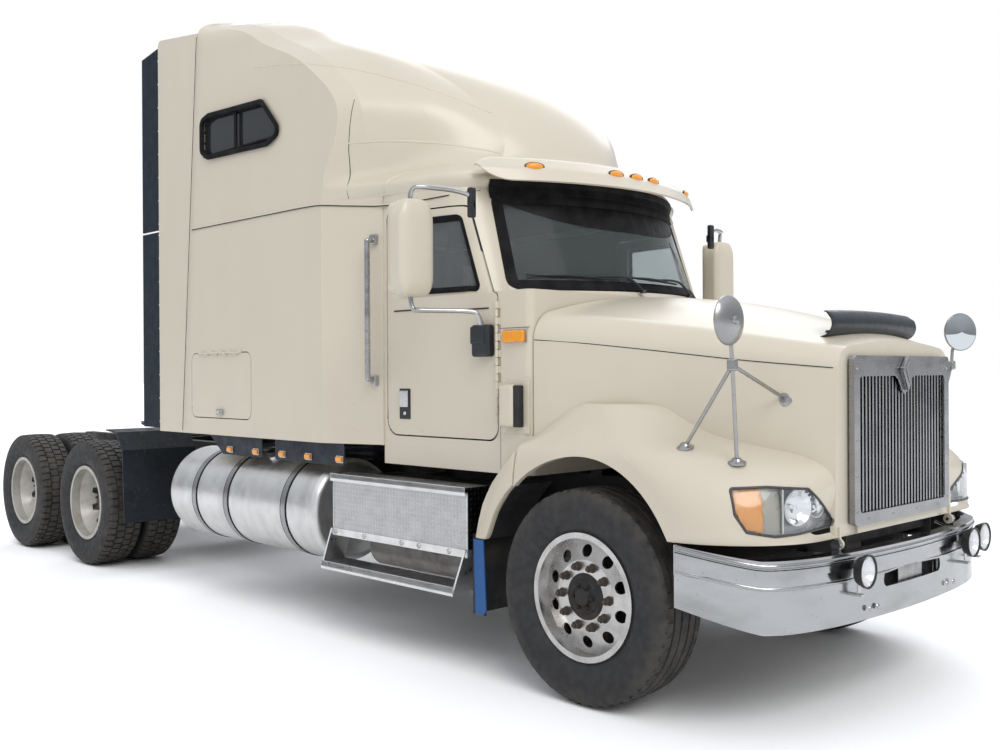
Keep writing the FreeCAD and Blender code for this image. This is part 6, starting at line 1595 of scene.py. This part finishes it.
# ---- seats and bunk -------------------------------------------------------------------------------------------
# Two air-ride seats in grey cloth on moulded pedestals, with fluted cushions, a head rest
# and a side lever. A foam mattress in paler cloth lies on the sleeper's plywood shelf.
SEAT_Y = 0.500
LEAN = 0.156
LEVER = ((-1.20, 0.225, 1.370), (-1.10, 0.235, 1.372), (-1.05, 0.235, 1.385))


def cloth(name, colour, pitch):
    """Woven cloth: two crossed sets of fine threads."""
    mat = tune(surface(name, colour, 0.85), Sheen_Weight=0.3)
    warp, weft = (add(mat, "TexWave", {"Scale": 0.314 / pitch, "Vector": add(mat, "TexCoord", {}, "Object")}, "Fac",
                      bands_direction=direction) for direction in ("X", "Z"))
    weave = times(mat, warp, weft)
    lay_over(mat, tuple(c * 1.7 for c in colour), times(mat, weave, 0.4))
    stain(mat, tuple(c * 0.6 for c in colour), 0.35, 5.0, 0.4, 0.8)
    dull(mat, 0.78, 0.95, 30.0, 0.3, 0.7)
    emboss(mat, 0.0008, 0.5, weave)
    return mat


def cushion(name, low, high, crown, flutes, lean=0.0):
    """Stuffed block: crowned face, sides pulled in between the corners, sewn flutes across the truck."""
    pad = primitive(bpy.ops.mesh.primitive_cube_add, name, size=2.0)
    edit(pad, lambda: bpy.ops.mesh.subdivide(number_cuts=19))
    low, high = Vector(low), Vector(high)
    mid, half_size = (low + high) / 2, (high - low) / 2
    face = min(range(3), key=lambda i: half_size[i])
    one, two = [i for i in range(3) if i != face]
    for v in pad.data.vertices:
        c = list(v.co)
        eased = [1 - 0.5 * max(0.0, abs(c[j]) - 0.8) ** 2 / 0.04 * 0.28 for j in (one, two)]
        hollow = 1 - 0.05 * (1 - max(abs(c[one]), abs(c[two])) ** 2)
        rise = (1 - c[one] ** 4) * (1 - c[two] ** 4)
        channel = 0.5 * (1 - abs(math.cos(math.pi * c[1] * flutes / 2))) ** 6 * rise if flutes else 0.0
        place = [0.0, 0.0, 0.0]
        place[face] = c[face] * (half_size[face] * eased[0] * eased[1] + crown * (rise - 1) - crown * channel)
        for j in (one, two):
            place[j] = c[j] * half_size[j] * (1 - 0.06 * max(0.0, abs(c[face]) - 0.5)) * hollow
        v.co = mid + Vector(place)
        v.co.x -= lean * (v.co.z - low.z)
    return smooth(softened(pad, 1), 80)


seat_cloth = cloth("seat_cloth", (0.115, 0.118, 0.125), 0.004)
mattress_cloth = cloth("mattress_cloth", (0.22, 0.225, 0.235), 0.005)
for s, label in ((1, "driver"), (-1, "passenger")):
    y = s * SEAT_Y
    base = joined("seat_base_" + label, [
        block("pedestal", at(-1.280, y - 0.170, 1.076), at(-0.980, y + 0.170, 1.330), 0.02, 3),
        block("pan", at(-1.310, y - 0.215, 1.330), at(-0.930, y + 0.215, 1.408), 0.025, 3),
        tube("lever", [at(x, y + s * out, z) for x, out, z in LEVER], 0.008)])
    settle(base, "chassis", "trim", black_plastic)
    pads = [cushion("seat_cushion_" + label, at(-1.325, y - 0.238, 1.408), at(-0.885, y + 0.238, 1.545), 0.022, 5),
            cushion("seat_back_" + label, at(-1.300, y - 0.228, 1.550), at(-1.190, y + 0.228, 2.020), 0.020, 5, LEAN),
            cushion("head_rest_" + label, at(-1.372, y - 0.140, 2.030), at(-1.292, y + 0.140, 2.170), 0.014, 0, 0.05)]
    for pad in pads:
        settle(pad, "chassis", "seat_fabric", seat_cloth)
    if s > 0:
        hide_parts("seats")
        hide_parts("seats")
shelf = joined("bunk_shelf", [block("shelf", at(-3.585, -1.145, 1.700), at(-2.560, 1.145, 1.725)),
                              block("lip", at(-2.572, -1.145, 1.690), at(-2.560, 1.145, 1.760))])
plywood = tune(casting("plywood", (0.28, 0.20, 0.12), (0.20, 0.13, 0.08)), Metallic=0.0)
settle(shelf, "chassis", "trim", plywood)
mattress = cushion("mattress", at(-3.573, -1.128, 1.727), at(-2.576, 1.128, 1.862), 0.018, 9)
settle(mattress, "chassis", "seat_fabric", mattress_cloth)
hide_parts("bunk")
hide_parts("bunk")

# ---- dashboard and steering wheel -------------------------------------------------------------------------------
# A dashboard of soft dark plastic with an instrument hood, dials and air vents, and a
# plastic steering wheel with three spokes, whose horn pad sits on the column's axis.
CAB_MID, SLEEPER_MID, ROOF_MID = Vector((-1.00, 0, 1.80)), Vector((-2.60, 0, 1.85)), Vector((-2.60, 0, 3.0))
COLUMN = Vector((-172, 0, 190)).normalized()
HOOD_OVER = ((-0.700, 1.860), (-0.560, 1.902), (-0.470, 1.902), (-0.470, 1.880), (-0.560, 1.880), (-0.690, 1.842))
DIAL = ((-0.004, 0.001), (-0.004, 0.045), (0.006, 0.045), (0.006, 0.041), (0.001, 0.040), (0.001, 0.001))
HORN = ((0.020, 0.001), (0.020, 0.058), (0.030, 0.062), (0.040, 0.054), (0.046, 0.030), (0.048, 0.001))


def inside(c, n, middle, half):
    """Whether a face looks towards the middle of a room."""
    return abs(c.y) < half and n.dot(c - middle) < -0.05


def cab_side(c, n):
    """Trim inside the cab; black on the bulkhead behind the engine, partly undercoat and partly painted shade seen
    through the arch; cream elsewhere.
    """
    # black on the bulkhead: partly undercoat, partly painted shade seen through the wheel arch
    if n.x > 0.6 and c.x > AXLE_X - 0.45 and c.z < 1.93:
        return 2
    return 1 if inside(c, n, CAB_MID, 1.02) and c.z < 2.54 else 0


dash_trim = plastic("dash_trim", (0.042, 0.041, 0.040), 0.55)
cab_trim = plastic("cab_trim", (0.045, 0.045, 0.044), 0.6)
wheel_trim = plastic("wheel_trim", (0.018, 0.018, 0.019), 0.45)
dial_face = plastic("dial_face", (0.55, 0.55, 0.52), 0.4)
split_dress("cab_shell", "cream_paint", (cream, cab_trim, shade_black_under), cab_side)
split_dress("sleeper_shell", "cream_paint", (cream, cab_trim), lambda c, n: int(inside(c, n, SLEEPER_MID, 1.16)))
split_dress("roof_fairing", "cream_paint", (cream, cab_trim),
            lambda c, n: int(inside(c, n, ROOF_MID, 1.16) and c.z > 2.60))
for node in ("door_left", "door_right"):
    split_dress(node, "cream_paint", (cream, cab_trim), lambda c, n: int(n.y * c.y < 0 and abs(c.y) < 1.02))
dress("trim", dash_trim, "dashboard")
dress("trim", wheel_trim, "steering_wheel")
hood_over = slab("instrument_hood", HOOD_OVER, lambda a, b, d: at(a, SEAT_Y - 0.24 + d, b), 0.48, 0.004)
vents = [block("vent", at(-0.806, y - 0.060, 1.800), at(-0.796, y + 0.060, 1.840), 0.004)
         for y in (-0.75, -0.30, 0.05)]
settle(joined("dash_details", [hood_over] + vents), "chassis", "trim", black_plastic)
dials = [moved(turned("dial", DIAL, 32), Matrix.Translation(at(-0.802, y, 1.800)), aim((-1, 0, 0.1)))
         for y in (0.36, 0.50, 0.64)]
settle(joined("dials", dials), "chassis", "lens", dial_face)
horn = smooth(turned("horn_pad", HORN, 40), 40)
moved(horn, Matrix.Translation(at(-0.872, SEAT_Y, 1.810) + COLUMN * 0.020), aim(COLUMN))
settle(horn, "steering_wheel", "trim", wheel_trim)

# ---- leftover heads ------------------------------------------------------------------
# The heads that were copied all over the truck go.
drop(bolt, screw, rivet)
